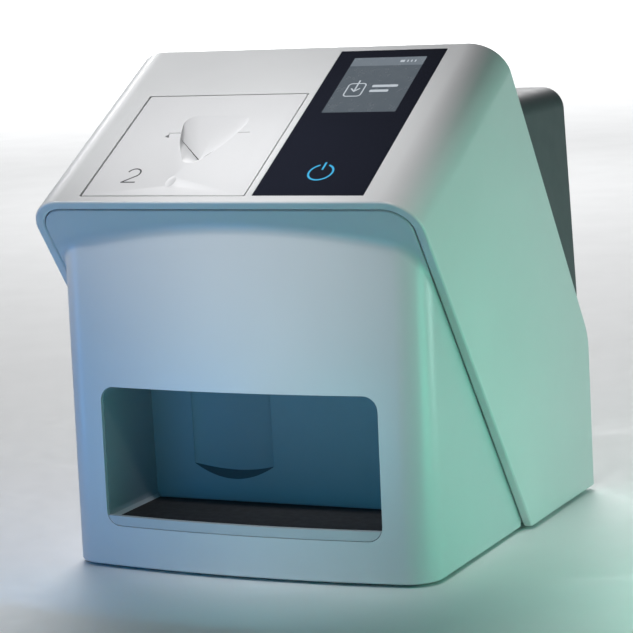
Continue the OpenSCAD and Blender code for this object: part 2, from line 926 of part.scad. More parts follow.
module front_guide_plate() {
    color("lightgray") difference() {
        translate([path_x - half_span, path_front - 3, guide_z0])
            cube([frame_span, guide_t, guide_z1 - guide_z0]);
        for (side = [-1, 1])
            translate([path_x + side * belt_x - belt_w / 2 - 2, path_front - 5, guide_z0 + 3])
            cube([belt_w + 4, 6, guide_z1 - guide_z0 - 6]);
        translate([gear_x - 2, path_front - 5, shelf_top - 1])
            cube([gear_w + 4, 6, motor_z + pinion_r + 4 - shelf_top]);
    }
}

module rear_guide_plate() {
    color("lightgray") difference() {
        translate([path_x - half_span, path_rear, guide_z0])
            cube([frame_span, guide_t, guide_z1 - guide_z0]);
        translate([path_x - guide_half, path_rear - 1, scan_z - 1.5])
            cube([2 * guide_half, guide_t + 2, 3]);
        translate([path_x - guide_half, path_rear - 1, eraser_z - eraser_h / 2 + 3])
            cube([2 * guide_half, guide_t + 2, eraser_h - 6]);
        translate([gear_x - 2, path_rear - 1, shelf_top - 1])
            cube([gear_w + 4, guide_t + 2, drive_z + gear_r + 4 - shelf_top]);
    }
}

module optical_bench() {
    color("silver") {
        translate([path_x - bench_half, bench_y0, bench_z])
            cube([2 * bench_half, bench_l, bench_t]);
        for (x = [-bench_half, bench_half - bench_t])
            translate([path_x + x, bench_y0, shelf_top])
            cube([bench_t, bench_l, bench_z - shelf_top]);
    }
}

module scan_motor() {
    z = bench_z + bench_t;
    color("dimgray") difference() {
        translate([path_x, mirror_y, z]) cylinder(h = scan_z - mirror_h / 2 - 2 - z,
            r = scan_motor_r);
        translate([path_x, mirror_y, z + 2]) cylinder(h = scan_z, r = spindle_r + run);
    }
}

module mirror_spindle() {
    z = bench_z + bench_t + 2 + fit;
    color("silver") translate([path_x, mirror_y, z])
        cylinder(h = scan_z + mirror_h / 2 + 3 - z, r = spindle_r);
}

module polygon_mirror() {
    color("lightsteelblue") translate([path_x, mirror_y, scan_z - mirror_h / 2]) difference() {
        cylinder(h = mirror_h, r = mirror_r, $fn = 8);
        translate([0, 0, -1]) cylinder(h = mirror_h + 2, r = spindle_r + run);
    }
}

module laser_module() {
    color("goldenrod") bar_x(path_x + 22, 26, laser_r, mirror_y - 6, scan_z);
}

module laser_mount() {
    z = bench_z + bench_t;
    color("dimgray") difference() {
        translate([path_x + 26, mirror_y - 14, z]) cube([16, 16, scan_z - z]);
        bar_x(path_x + 20, 30, laser_r + fit, mirror_y - 6, scan_z);
    }
}

module scan_lens() {
    z = bench_z + bench_t;
    color("lightcyan") intersection() {
        translate([path_x, lens_y + 44, z]) cylinder(h = scan_z + 6 - z, r = 50);
        translate([path_x - 26, lens_y - 7, z]) cube([52, 8, scan_z]);
    }
}

module light_collector() {
    y0 = path_rear + guide_t + fit;
    color("lightcyan") translate([path_x - guide_half, y0, scan_z + beam_half])
        cube([2 * guide_half, frame_back - y0 - 1, 2 * tube_r + 2]);
}

module photomultiplier() {
    color("dimgray") bar_y(frame_back - 1 + fit, tube_l, tube_r, path_x, tube_z);
}

module detector_bracket() {
    z = bench_z + bench_t;
    y = frame_back + tube_l - 14;
    color("silver") difference() {
        union() {
            for (x = [-34, 30]) translate([path_x + x, y, z]) cube([4, 6, tube_z - z]);
            translate([path_x - 34, y, tube_z - tube_r - 4]) cube([68, 6, tube_r + 4]);
        }
        bar_y(y - 1, 8, tube_r + fit, path_x, tube_z);
    }
}

module eraser_unit() {
    y0 = path_rear + guide_t + fit;
    color("black") translate([path_x - guide_half, y0, eraser_z - eraser_h / 2])
        cube([2 * guide_half, eraser_l, eraser_h]);
}

// The rear board's four fixing points
module board_places() {
    for (x = [board_x0 + post_in, board_x0 + board_w - post_in],
        z = [board_z0 + post_in, board_z0 + board_h - post_in])
        translate([x, board_y, z]) rotate([-90, 0, 0]) children();
}

module main_board() {
    color("darkgreen") difference() {
        union() {
            translate([board_x0, board_y, board_z0]) cube([board_w, board_t, board_h]);
            for (i = [0:2]) translate([board_x0 + 16 + 32 * i, board_y - 2, board_z0 + 52])
                cube([20, 2, 20]);
        }
        board_places() translate([0, 0, -1]) cylinder(h = 4, r = screw_r + run);
    }
}

module board_standoffs() {
    color("goldenrod") board_places() translate([0, 0, board_t]) difference() {
        cylinder(h = rear_in - board_y - board_t, r = 3);
        translate([0, 0, -1]) cylinder(h = 9, r = screw_r + run);
    }
}

module board_screws() {
    color("silver") board_places() translate([0, 0, -head_t]) screw(head_t + board_t + 5);
}

// Places of the power board's posts on the base
module power_post_places() {
    for (x = [-72, -8], y = [-24, 52]) translate([x, y, base_top]) children();
}

module power_board() {
    z = base_top + post_h;
    color("darkgreen") {
        translate([-78, -30, z]) cube([76, 88, board_t]);
        translate([-70, -18, z + board_t]) cube([26, 22, 18]);
        for (y = [10, 26, 42]) translate([-28, y, z + board_t]) cylinder(h = 16, r = 6);
    }
}

module network_socket() {
    y0 = board_y + board_t;
    color("silver") difference() {
        translate([net_x - net_w / 2, y0, socket_z - net_h / 2])
            cube([net_w, y_rear - socket_in - y0, net_h]);
        translate([net_x - net_w / 2 + 2, y_rear - 13, socket_z - net_h / 2 + 2])
            cube([net_w - 4, 20, net_h - 4]);
    }
}

module dc_inlet() {
    y0 = board_y + board_t;
    color("black") {
        difference() {
            bar_y(y0, y_rear - socket_in - y0, dc_r, dc_x, socket_z);
            bar_y(y_rear - 10, 12, 3.2, dc_x, socket_z);
        }
        bar_y(y_rear - 10.5, 9, 1, dc_x, socket_z);
    }
}

module reset_switch() {
    y0 = board_y + board_t;
    color("black") difference() {
        translate([reset_x - 4, y0, socket_z - 4]) cube([8, 9, 8]);
        bar_y(y0 + 4, 20, 1.5 + fit, reset_x, socket_z);
    }
}

module reset_button() {
    y0 = board_y + board_t + 6;
    color("red") {
        bar_y(y0, 8, 1.5, reset_x, socket_z);
        bar_y(y0 + 5, y_rear - 0.6 - y0 - 5, reset_r, reset_x, socket_z);
    }
}

module fan_housing() {
    y0 = rear_in - fan_d;
    color("black") difference() {
        translate([fan_x - fan_w / 2, y0, fan_z - fan_w / 2]) cube([fan_w, fan_d, fan_w]);
        difference() {
            bar_y(y0 - 1, fan_d + 2, fan_w / 2 - 2, fan_x, fan_z);
            bar_y(y0 + fan_d - 1.5, 1.5, 11, fan_x, fan_z);
            translate([fan_x - fan_w / 2, y0 + fan_d - 1.5, fan_z - 2]) cube([fan_w, 1.5, 4]);
            bar_y(y0 + 2, fan_d - 2, 1.5, fan_x, fan_z);
        }
    }
}

module fan_rotor() {
    y0 = rear_in - fan_d + 1;
    h = fan_d - 3.2;
    color("dimgray") difference() {
        union() {
            bar_y(y0, h, 10, fan_x, fan_z);
            for (i = [0:6]) translate([fan_x, y0 + h / 2, fan_z]) rotate([0, i * 360 / 7, 0])
                rotate([35, 0, 0]) translate([0, -0.6, -4]) translate([8, 0, 0])
                cube([fan_w / 2 - 12, 1.2, 8]);
        }
        bar_y(y0 + 1, fan_d, 1.5 + run, fan_x, fan_z);
    }
}

hood_shell();
front_housing();
rear_housing();
base_plate();
rubber_feet();
base_screws();
rear_screws();
inlet_insert();
inlet_seat();
touch_glass();
standby_symbol();
standby_light_guide();
display_panel();
display_carrier();
display_board();
output_chamber();
outlet_chute();
collecting_tray();
tray_mat();
bulkhead();
shelf_plate();
shelf_legs();
left_side_frame();
right_side_frame();
front_guide_plate();
rear_guide_plate();
shaft_bearings();
drive_shaft();
drive_pulleys();
idler_shaft();
idler_pulleys();
transport_belts();
drive_gear();
motor_pinion();
motor_shaft();
drive_motor();
optical_bench();
scan_motor();
mirror_spindle();
polygon_mirror();
laser_module();
laser_mount();
scan_lens();
light_collector();
photomultiplier();
detector_bracket();
eraser_unit();
main_board();
board_standoffs();
board_screws();
power_board();
network_socket();
dc_inlet();
reset_button();
reset_switch();
fan_housing();
fan_rotor();
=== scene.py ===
"""The looks of a desktop image plate scanner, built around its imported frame."""

import math

import bmesh
import bpy
from mathutils import Matrix, Vector


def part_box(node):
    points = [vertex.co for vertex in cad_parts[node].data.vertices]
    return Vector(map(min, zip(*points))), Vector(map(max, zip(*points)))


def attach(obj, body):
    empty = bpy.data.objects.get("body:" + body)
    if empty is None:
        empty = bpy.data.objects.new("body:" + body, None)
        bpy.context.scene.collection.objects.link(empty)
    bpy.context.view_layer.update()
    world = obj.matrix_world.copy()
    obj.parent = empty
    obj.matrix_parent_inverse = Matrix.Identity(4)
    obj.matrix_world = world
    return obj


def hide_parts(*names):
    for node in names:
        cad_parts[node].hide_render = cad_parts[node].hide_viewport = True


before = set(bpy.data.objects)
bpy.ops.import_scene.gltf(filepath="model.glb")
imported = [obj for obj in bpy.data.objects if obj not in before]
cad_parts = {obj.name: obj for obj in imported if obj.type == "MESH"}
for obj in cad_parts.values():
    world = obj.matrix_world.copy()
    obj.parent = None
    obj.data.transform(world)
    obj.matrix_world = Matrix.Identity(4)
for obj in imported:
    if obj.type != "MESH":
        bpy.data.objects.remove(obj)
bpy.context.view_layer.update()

# Lengths below are in millimetres, and build() turns them into metres.
MM = 0.001
hood_low, hood_high = (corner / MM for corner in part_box("hood_shell"))

# Driving sizes of the casing, as in the part
HALF_W = hood_high.x
Y_FRONT, Y_REAR = hood_low.y, hood_high.y
FLOOR_Z, RIDGE_Z = hood_low.z, hood_high.z
FRONT_H = 201.0
RIDGE_D = 127.0
SHOULDER_H = 92.0
SHOULDER_R = 30.0
RIM_FOOT_D = 142.0
RIM_W = 5.5
RIM_D = 8.0
SEAM = 0.5
HOOD_R = 20.0
FACE_IN = 11.0
FACE_LEAN = math.radians(1.5)
FACE_BOW = 6.0
FACE_R = 18.0
FRONT_WALL = 3.0
COVE_R = 15.0
WINDOW_W, WINDOW_H = 163.0, 76.0
WINDOW_Z, WINDOW_R = 24.0, 8.0
CHAMBER_Y = Y_FRONT + 66.5
CHAMBER_WALL, CHAMBER_BACK_WALL = 1.8, 1.6
GUTTER_X, GUTTER_W, GUTTER_D = -32.0, 49.0, 4.0
GUTTER_UP, SCOOP_H, SCOOP_SAG = 23.0, 8.0, 3.6
MOUTH_SIDE, MOUTH_L = 3.3, 12.6
INSERT_V, INSERT_X = 5.8, -32.1
INSERT_W, INSERT_L, INSERT_T = 96.4, 92.7, 6.0
INSERT_GAP, INSERT_GAP_LEFT = 0.6, 1.1
PATH_X = INSERT_X + 3.6
SLOT_V, SLOT_W = 57.0, 49.0
GROOVE_W, GROOVE_DEEP, NOTCH_DEEP = 0.5, 0.5, 1.6
FUNNEL_V, FUNNEL_W, FUNNEL_L, FUNNEL_R = 73.0, 39.0, 44.0, 6.5
FLANK_BULGE = 1.5
VALLEY_V, VALLEY_W, VALLEY_RISE, VALLEY_DEEP = 38.8, 16.4, 0.886, 5.2
SLIT_W, SLIT_DEEP = 0.9, 0.5
BOWL_POWER = 1.6
GLASS_X, GLASS_W, GLASS_L = 51.9, 62.4, 133.6
GLASS_GAP = 0.2

# The camera, as worked out for the photograph's view
CAMERA_PLACE = Vector((605.7, -1240.0, 344.0))
CAMERA_YAW, CAMERA_PITCH, CAMERA_ROLL = (math.radians(a) for a in (26.17, 9.17, -3.20))
CAMERA_LENS, CAMERA_FAR = 142.15, 50

FACE_W = 2 * (HALF_W - RIM_W - SEAM)

Y_RIDGE = Y_FRONT + RIDGE_D
SLOPE_A = math.atan2(RIDGE_Z - FRONT_H, RIDGE_D)
RIM_A = math.atan2(-FRONT_H, RIM_FOOT_D)

X_AXIS = Vector((1, 0, 0))
FRONT_EDGE = Vector((0, Y_FRONT, FRONT_H))
UP_SLOPE = Vector((0, math.cos(SLOPE_A), math.sin(SLOPE_A)))
SLOPE_OUT = Vector((0, -math.sin(SLOPE_A), math.cos(SLOPE_A)))
DOWN_RIM = Vector((0, math.cos(RIM_A), math.sin(RIM_A)))
RIM_IN = Vector((0, -math.sin(RIM_A), math.cos(RIM_A)))


def on_slope(x, v, out=0.0):
    """The point at x, v up the hood's top and out from it."""
    return FRONT_EDGE + x * X_AXIS + v * UP_SLOPE + out * SLOPE_OUT


# ---------------------------------------------------------------- materials

def material(name):
    """A new node material and its nodes, links and shader."""
    mat = bpy.data.materials.new(name)
    mat.use_nodes = True
    tree = mat.node_tree
    shader = next(n for n in tree.nodes if n.type == "BSDF_PRINCIPLED")
    return mat, tree.nodes, tree.links, shader


def noise(nodes, links, scale, detail=3.0, stretch=(1, 1, 1)):
    """A noise texture on the object's own coordinates, in features per metre."""
    coords = nodes.new("ShaderNodeTexCoord")
    mapping = nodes.new("ShaderNodeMapping")
    mapping.inputs["Scale"].default_value = stretch
    texture = nodes.new("ShaderNodeTexNoise")
    texture.inputs["Scale"].default_value = scale
    texture.inputs["Detail"].default_value = detail
    links.new(coords.outputs["Object"], mapping.inputs["Vector"])
    links.new(mapping.outputs["Vector"], texture.inputs["Vector"])
    return texture.outputs["Fac"]


def vary_colour(nodes, links, shader, fac, colour, spread):
    """Colours the shader between two shades of one colour."""
    ramp = nodes.new("ShaderNodeValToRGB")
    ramp.color_ramp.elements[0].position = 0.3
    ramp.color_ramp.elements[1].position = 0.7
    for element, gain in zip(ramp.color_ramp.elements, (1 - spread, 1 + spread)):
        element.color = (*(min(1.0, c * gain) for c in colour), 1)
    links.new(fac, ramp.inputs["Fac"])
    links.new(ramp.outputs["Color"], shader.inputs["Base Color"])


def vary_roughness(nodes, links, shader, fac, rough, spread):
    """Spreads the shader's roughness around a middle value."""
    spread_map = nodes.new("ShaderNodeMapRange")
    spread_map.inputs["From Min"].default_value = 0.3
    spread_map.inputs["From Max"].default_value = 0.7
    spread_map.inputs["To Min"].default_value = rough - spread
    spread_map.inputs["To Max"].default_value = rough + spread
    links.new(fac, spread_map.inputs["Value"])
    links.new(spread_map.outputs["Result"], shader.inputs["Roughness"])


def add_bump(nodes, links, shader, fac, strength, depth_mm):
    """Raises the surface by a texture."""
    bump = nodes.new("ShaderNodeBump")
    bump.inputs["Strength"].default_value = strength
    bump.inputs["Distance"].default_value = depth_mm * MM
    links.new(fac, bump.inputs["Height"])
    links.new(bump.outputs["Normal"], shader.inputs["Normal"])


def plastic(name, colour, rough, grain_mm=0.35, depth_mm=0.02, coat=0.0, spread=0.02):
    """Moulded plastic with a fine spark-eroded grain and faint flow marks."""
    mat, nodes, links, shader = material(name)
    vary_colour(nodes, links, shader, noise(nodes, links, 14, 2), colour, spread)
    vary_roughness(nodes, links, shader, noise(nodes, links, 90, 4), rough, 0.04)
    add_bump(nodes, links, shader, noise(nodes, links, 1 / (grain_mm * MM), 2), 0.35, depth_mm)
    shader.inputs["Coat Weight"].default_value = coat
    shader.inputs["Coat Roughness"].default_value = 0.22
    return mat


def rubber(name, colour, rough=0.8, grain_mm=0.5):
    """Dull rubber or foam with a coarse grain."""
    mat, nodes, links, shader = material(name)
    vary_colour(nodes, links, shader, noise(nodes, links, 160, 4), colour, 0.18)
    vary_roughness(nodes, links, shader, noise(nodes, links, 220, 3), rough, 0.06)
    add_bump(nodes, links, shader, noise(nodes, links, 1 / (grain_mm * MM), 3), 0.6, 0.08)
    return mat


def metal(name, colour, rough, stretch=(1, 1, 18), scale=260):
    """Metal with fine drawn or turned lines."""
    mat, nodes, links, shader = material(name)
    lines = noise(nodes, links, scale, 5, stretch)
    vary_colour(nodes, links, shader, lines, colour, 0.06)
    vary_roughness(nodes, links, shader, lines, rough, 0.07)
    add_bump(nodes, links, shader, lines, 0.15, 0.01)
    shader.inputs["Metallic"].default_value = 1.0
    return mat


def circuit(name):
    """Green solder mask with faint tracks under it."""
    mat, nodes, links, shader = material(name)
    coords = nodes.new("ShaderNodeTexCoord")
    bricks = nodes.new("ShaderNodeTexBrick")
    bricks.inputs["Scale"].default_value = 160
    bricks.inputs["Color1"].default_value = (0.010, 0.110, 0.045, 1)
    bricks.inputs["Color2"].default_value = (0.014, 0.135, 0.055, 1)
    bricks.inputs["Mortar"].default_value = (0.030, 0.230, 0.100, 1)
    bricks.inputs["Mortar Size"].default_value = 0.04
    links.new(coords.outputs["Object"], bricks.inputs["Vector"])
    links.new(bricks.outputs["Color"], shader.inputs["Base Color"])
    add_bump(nodes, links, shader, bricks.outputs["Fac"], 0.2, 0.03)
    vary_roughness(nodes, links, shader, noise(nodes, links, 120, 3), 0.3, 0.05)
    return mat


def lit(name, colour, glow, strength, rough=0.25):
    """A surface that gives off a little light of its own."""
    mat, nodes, links, shader = material(name)
    vary_colour(nodes, links, shader, noise(nodes, links, 300, 2), colour, 0.05)
    vary_roughness(nodes, links, shader, noise(nodes, links, 200, 2), rough, 0.04)
    shader.inputs["Emission Color"].default_value = (*glow, 1)
    shader.inputs["Emission Strength"].default_value = strength
    return mat


def glass_black(name):
    """Black cover glass: polished, with the faintest wipe marks in its gloss."""
    mat, nodes, links, shader = material(name)
    vary_colour(nodes, links, shader, noise(nodes, links, 20, 2), (0.012, 0.014, 0.024), 0.06)
    vary_roughness(nodes, links, shader, noise(nodes, links, 45, 5, (1, 4, 4)), 0.09, 0.008)
    shader.inputs["Specular IOR Level"].default_value = 0.45
    return mat


M = {
    "hood": plastic("hood_satin", (0.70, 0.71, 0.72), 0.34, coat=0.25),
    "front": plastic("front_satin", (0.62, 0.64, 0.66), 0.36, coat=0.25),
    "rear": plastic("rear_textured", (0.085, 0.090, 0.100), 0.55, 0.7, 0.05),
    "insert": plastic("insert_matt", (0.67, 0.675, 0.69), 0.46),
    # The chamber's walls are the body's grey painted darker: painted shade inside the window.
    "chamber": plastic("chamber_matt_painted_shade", (0.36, 0.40, 0.43), 0.50),
    # The scoop's near-black colour is painted shade, standing in for the shadow under the
    # gutter.
    "scoop": plastic("scoop_painted_shade", (0.10, 0.13, 0.15), 0.55),
    "tray": plastic("tray_satin", (0.50, 0.53, 0.55), 0.35, coat=0.2),
    "mat": rubber("tray_foam", (0.012, 0.012, 0.014), 0.85, 0.6),
    "foot": rubber("foot_rubber", (0.015, 0.015, 0.016)),
    "belt": rubber("belt_rubber", (0.02, 0.02, 0.022), 0.7),
    "inner": plastic("inner_black", (0.06, 0.06, 0.065), 0.55, 0.6, 0.04),
    "gear": plastic("gear_acetal", (0.72, 0.70, 0.62), 0.40),
    "pulley": plastic("pulley_grey", (0.10, 0.12, 0.13), 0.45),
    "button": plastic("button_red", (0.45, 0.05, 0.04), 0.35),
    "motor": plastic("motor_black", (0.05, 0.05, 0.055), 0.42, 0.8, 0.04),
    # The slit's near-black colour is painted shade, standing in for the dark depth of the
    # slot.
    "slit": plastic("slit_painted_shade", (0.05, 0.055, 0.06), 0.6),
    "ink": plastic("numeral_ink", (0.055, 0.06, 0.065), 0.45),
    "steel": metal("sheet_steel", (0.56, 0.57, 0.58), 0.36),
    "shaft": metal("ground_steel", (0.66, 0.66, 0.67), 0.22, (18, 1, 1)),
    "screw": metal("screw_steel", (0.50, 0.51, 0.52), 0.30, (1, 1, 1), 900),
    "brass": metal("turned_brass", (0.72, 0.55, 0.26), 0.28, (1, 12, 12)),
    "alu": metal("milled_aluminium", (0.68, 0.69, 0.70), 0.34, (14, 1, 1)),
    "mirror": metal("polished_mirror", (0.88, 0.89, 0.91), 0.06),
    "socket": metal("plated_socket", (0.60, 0.60, 0.62), 0.25, (1, 1, 8)),
    "board": circuit("solder_mask"),
    "lens": plastic("clear_lens", (0.55, 0.62, 0.68), 0.12),
    "glass": glass_black("cover_glass"),
    "screen": lit("screen_slate", (0.02, 0.025, 0.03), (0.085, 0.105, 0.125), 0.85),
    "header": lit("screen_header", (0.02, 0.025, 0.03), (0.16, 0.19, 0.22), 0.9),
    "icon": lit("screen_icon", (0.1, 0.1, 0.1), (0.42, 0.47, 0.52), 1.0),
    "symbol": lit("standby_blue", (0.02, 0.12, 0.20), (0.03, 0.30, 0.52), 1.1),
    "floor": plastic("studio_floor", (0.86, 0.87, 0.88), 0.6),
}


# ---------------------------------------------------------------- mesh tools

def build(name, points, faces, mats, face_mats=None):
    """A mesh object from points in millimetres."""
    mesh = bpy.data.meshes.new(name)
    mesh.from_pydata([Vector(p) * MM for p in points], [], faces)
    for key in mats:
        mesh.materials.append(M[key])
    if face_mats:
        mesh.polygons.foreach_set("material_index", face_mats)
    mesh.validate()
    obj = bpy.data.objects.new(name, mesh)
    bpy.context.scene.collection.objects.link(obj)
    return obj


def tidy_mesh(obj, merge_mm=0.004, flat_deg=0.0):
    """Joins points that coincide, points the normals out and clears flat seams."""
    bm = bmesh.new()
    bm.from_mesh(obj.data)
    bmesh.ops.remove_doubles(bm, verts=bm.verts, dist=merge_mm * MM)
    if flat_deg:
        bmesh.ops.dissolve_limit(bm, angle_limit=math.radians(flat_deg), verts=bm.verts,
                                 edges=bm.edges, delimit={"MATERIAL"})
    bmesh.ops.recalc_face_normals(bm, faces=bm.faces)
    bm.to_mesh(obj.data)
    bm.free()


def apply_modifiers(obj):
    """Bakes an object's modifiers into its mesh."""
    graph = bpy.context.evaluated_depsgraph_get()
    mesh = bpy.data.meshes.new_from_object(obj.evaluated_get(graph))
    old = obj.data
    obj.modifiers.clear()
    obj.data = mesh
    bpy.data.meshes.remove(old)
    mesh.name = obj.name


def cut(obj, cutter):
    """Takes one closed mesh out of another."""
    modifier = obj.modifiers.new("cut", "BOOLEAN")
    modifier.operation = "DIFFERENCE"
    modifier.solver = "EXACT"
    modifier.object = cutter
    apply_modifiers(obj)
    bpy.data.objects.remove(cutter)


def round_edges(obj, width_mm, segments=3, angle_deg=35.0):
    """Rounds every edge sharper than an angle."""
    modifier = obj.modifiers.new("round", "BEVEL")
    modifier.limit_method = "ANGLE"
    modifier.angle_limit = math.radians(angle_deg)
    modifier.width = width_mm * MM
    modifier.segments = segments
    modifier.use_clamp_overlap = True
    modifier.miter_outer = "MITER_ARC"
    apply_modifiers(obj)


def smooth(obj, angle_deg=35.0):
    """Shades smoothly, with flat faces kept flat."""
    obj.data.shade_smooth()
    obj.data.set_sharp_from_angle(angle=math.radians(angle_deg))
    modifier = obj.modifiers.new("normals", "WEIGHTED_NORMAL")
    modifier.keep_sharp = True
    apply_modifiers(obj)


def prism(name, outline, frame_of, low, high, mats):
    """A closed outline run between two depths; frame_of(a, b, depth) places a point."""
    count = len(outline)
    points = [frame_of(a, b, depth) for depth in (low, high) for a, b in outline]
    faces = [tuple(range(count)), tuple(range(2 * count - 1, count - 1, -1))]
    faces += [(i, i + count, (i + 1) % count + count, (i + 1) % count) for i in range(count)]
    obj = build(name, points, faces, mats)
    tidy_mesh(obj)
    return obj


def rounded_rect(w, h, r, steps=8, cx=0.0, cy=0.0):
    """Outline of a rectangle with round corners, anticlockwise."""
    outline = []
    for k, (sx, sy) in enumerate(((1, 1), (-1, 1), (-1, -1), (1, -1))):
        for i in range(steps + 1):
            a = math.radians(90 * (k + i / steps))
            outline.append((cx + sx * (w / 2 - r) + r * math.cos(a),
                            cy + sy * (h / 2 - r) + r * math.sin(a)))
    return outline


def grid_faces(columns, rows, closed=False):
    """Faces of a grid whose points are stored column by column."""
    faces = []
    for i in range(columns if closed else columns - 1):
        j = (i + 1) % columns
        for k in range(rows - 1):
            faces.append((i * rows + k, j * rows + k, j * rows + k + 1, i * rows + k + 1))
    return faces


def section_faces(count, size):
    """Faces of a solid whose points are stored as a count of closed sections."""
    faces = []
    for i in range(count - 1):
        for k in range(size):
            a, b = size * i + k, size * i + (k + 1) % size
            faces.append((a, b, b + size, a + size))
    start, end = range(size - 1, -1, -1), range(size * (count - 1), size * count)
    return faces + [tuple(start), tuple(end)]


def adopt(obj, body, slot, *replaced):
    """Puts a finished piece on its body, in place of CAD nodes; its slot is not used."""
    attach(obj, body)
    if replaced:
        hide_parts(*replaced)


# ---------------------------------------------------------------- the casing

def sleeve_side(inset, reach):
    """Side view of the hood's inside, reaching out past its open ends."""
    top = FRONT_EDGE - inset * SLOPE_OUT
    start, end = top - reach * UP_SLOPE, top + 3 * RIDGE_D * UP_SLOPE
    low = -4 * RIDGE_D
    return [(start.y, start.z), (end.y, end.z), (end.y, low), (start.y, low)]


def round_long_edges(obj, radius, z_min):
    """Rounds the two long edges along the top of a side-view prism."""
    bm = bmesh.new()
    bm.from_mesh(obj.data)
    along = [e for e in bm.edges
             if abs(e.verts[0].co.x - e.verts[1].co.x) < MM / 10
             and abs((e.verts[1].co - e.verts[0].co).normalized().dot(UP_SLOPE)) > 0.999
             and min(v.co.z for v in e.verts) > z_min * MM]
    bmesh.ops.bevel(bm, geom=along, offset=radius * MM, segments=24, profile=0.5,
                    affect="EDGES", clamp_overlap=False)
    bm.to_mesh(obj.data)
    bm.free()


def hood_profile():
    """Side view of the hood, with its round rear shoulder."""
    turn = math.atan2(Y_REAR - Y_RIDGE, RIDGE_Z - SHOULDER_H)
    low_z = SHOULDER_H - SHOULDER_R * math.tan(turn / 2)
    steps = 16
    shoulder = []
    for i in range(steps + 1):
        a = turn * (1 - i / steps)
        shoulder.append((Y_REAR - SHOULDER_R * (1 - math.cos(a)),
                         low_z + SHOULDER_R * math.sin(a)))
    foot = (Y_FRONT + RIM_FOOT_D * (1 - FLOOR_Z / FRONT_H), FLOOR_Z)
    return [(Y_FRONT, FRONT_H), (Y_RIDGE, RIDGE_Z), *shoulder, (Y_REAR, FLOOR_Z), foot]


def slope_box(x, v, w, l):
    """A cutter through the hood's top, v up the slope."""
    into, out = -30, 10
    corners = [(x - w / 2, v), (x + w / 2, v), (x + w / 2, v + l), (x - w / 2, v + l)]
    return prism("cut", corners, on_slope, into, out, ["inner"])


def side_view(y, z, x):
    """Places a point of an outline drawn from the side."""
    return Vector((x, y, z))


def front_view(x, z, y):
    """Places a point of an outline drawn from the front."""
    return Vector((x, y, z))


def plan_view(x, y, z):
    """Places a point of an outline drawn from above."""
    return Vector((x, y, z))


def make_hood():
    """The bent hood, open at its front and rear, with two openings in its top."""
    hood = prism("hood", hood_profile(), side_view, -HALF_W, HALF_W, ["hood"])
    round_long_edges(hood, HOOD_R, FRONT_H - 10)
    inside = HALF_W - RIM_W
    core = prism("hood_core", sleeve_side(RIM_W, 60), side_view, -inside, inside, ["hood"])
    round_long_edges(core, HOOD_R - RIM_W, 0)
    cut(hood, core)
    round_edges(hood, 1.3, 4, 40)
    cut(hood, slope_box(INSERT_X - (INSERT_GAP_LEFT - INSERT_GAP) / 2, INSERT_V - INSERT_GAP,
                        INSERT_W + INSERT_GAP_LEFT + INSERT_GAP, INSERT_L + 2 * INSERT_GAP))
    cut(hood, slope_box(GLASS_X, INSERT_V - GLASS_GAP, GLASS_W + 2 * GLASS_GAP,
                        GLASS_L + 2 * GLASS_GAP))
    round_edges(hood, 0.25, 2, 60)
    smooth(hood)
    adopt(hood, "housing", "hood_plastic", "hood_shell")


def face_outline():
    """Plan of the front housing's right half: x, y, normal and place on its corner."""
    centre_x = FACE_W / 2 - FACE_R
    # The bow's arc runs on smoothly from the corner's
    bow_in = (centre_x ** 2 + FACE_BOW ** 2) / (2 * FACE_BOW)
    bow_r = bow_in + FACE_R
    start = math.asin(centre_x / bow_in)
    outline = []
    steps = 28
    for i in range(steps):
        a = start * i / steps
        outline.append((bow_r * math.sin(a), bow_r * (1 - math.cos(a)) - FACE_BOW, a, 0.0))
    steps = 22
    for i in range(steps + 1):
        a = start + (math.pi / 2 - start) * i / steps
        x, y = centre_x + FACE_R * math.sin(a), FACE_R - FACE_R * math.cos(a)
        outline.append((x, y, a, i / steps))
    depth = RIM_FOOT_D - FACE_IN
    steps = 16
    for i in range(1, steps + 1):
        y = FACE_R + (depth - FACE_R - 4) * i / steps
        outline.append((FACE_W / 2, y, math.pi / 2, 2.0))
    return outline


def rim_point(x, down, into=0.0):
    """A point on the slanted rim plane."""
    return FRONT_EDGE + x * X_AXIS + down * DOWN_RIM + into * RIM_IN


def brow_edge(share, start_x, side_down):
    """The brow's outer edge, from its straight top round the corner and down the side."""
    radius = HOOD_R - RIM_W - SEAM
    top = (RIM_W + SEAM) / math.sin(SLOPE_A - RIM_A)
    centre_x = FACE_W / 2 - radius
    flat, arc = centre_x - start_x, radius * math.pi / 2
    drop = side_down - top - radius
    s = share * (flat + arc + drop)
    if s < flat:
        return start_x + s, top
    if s < flat + arc:
        a = (s - flat) / radius
        return centre_x + radius * math.sin(a), top + radius * (1 - math.cos(a))
    return FACE_W / 2, top + radius + s - flat - arc


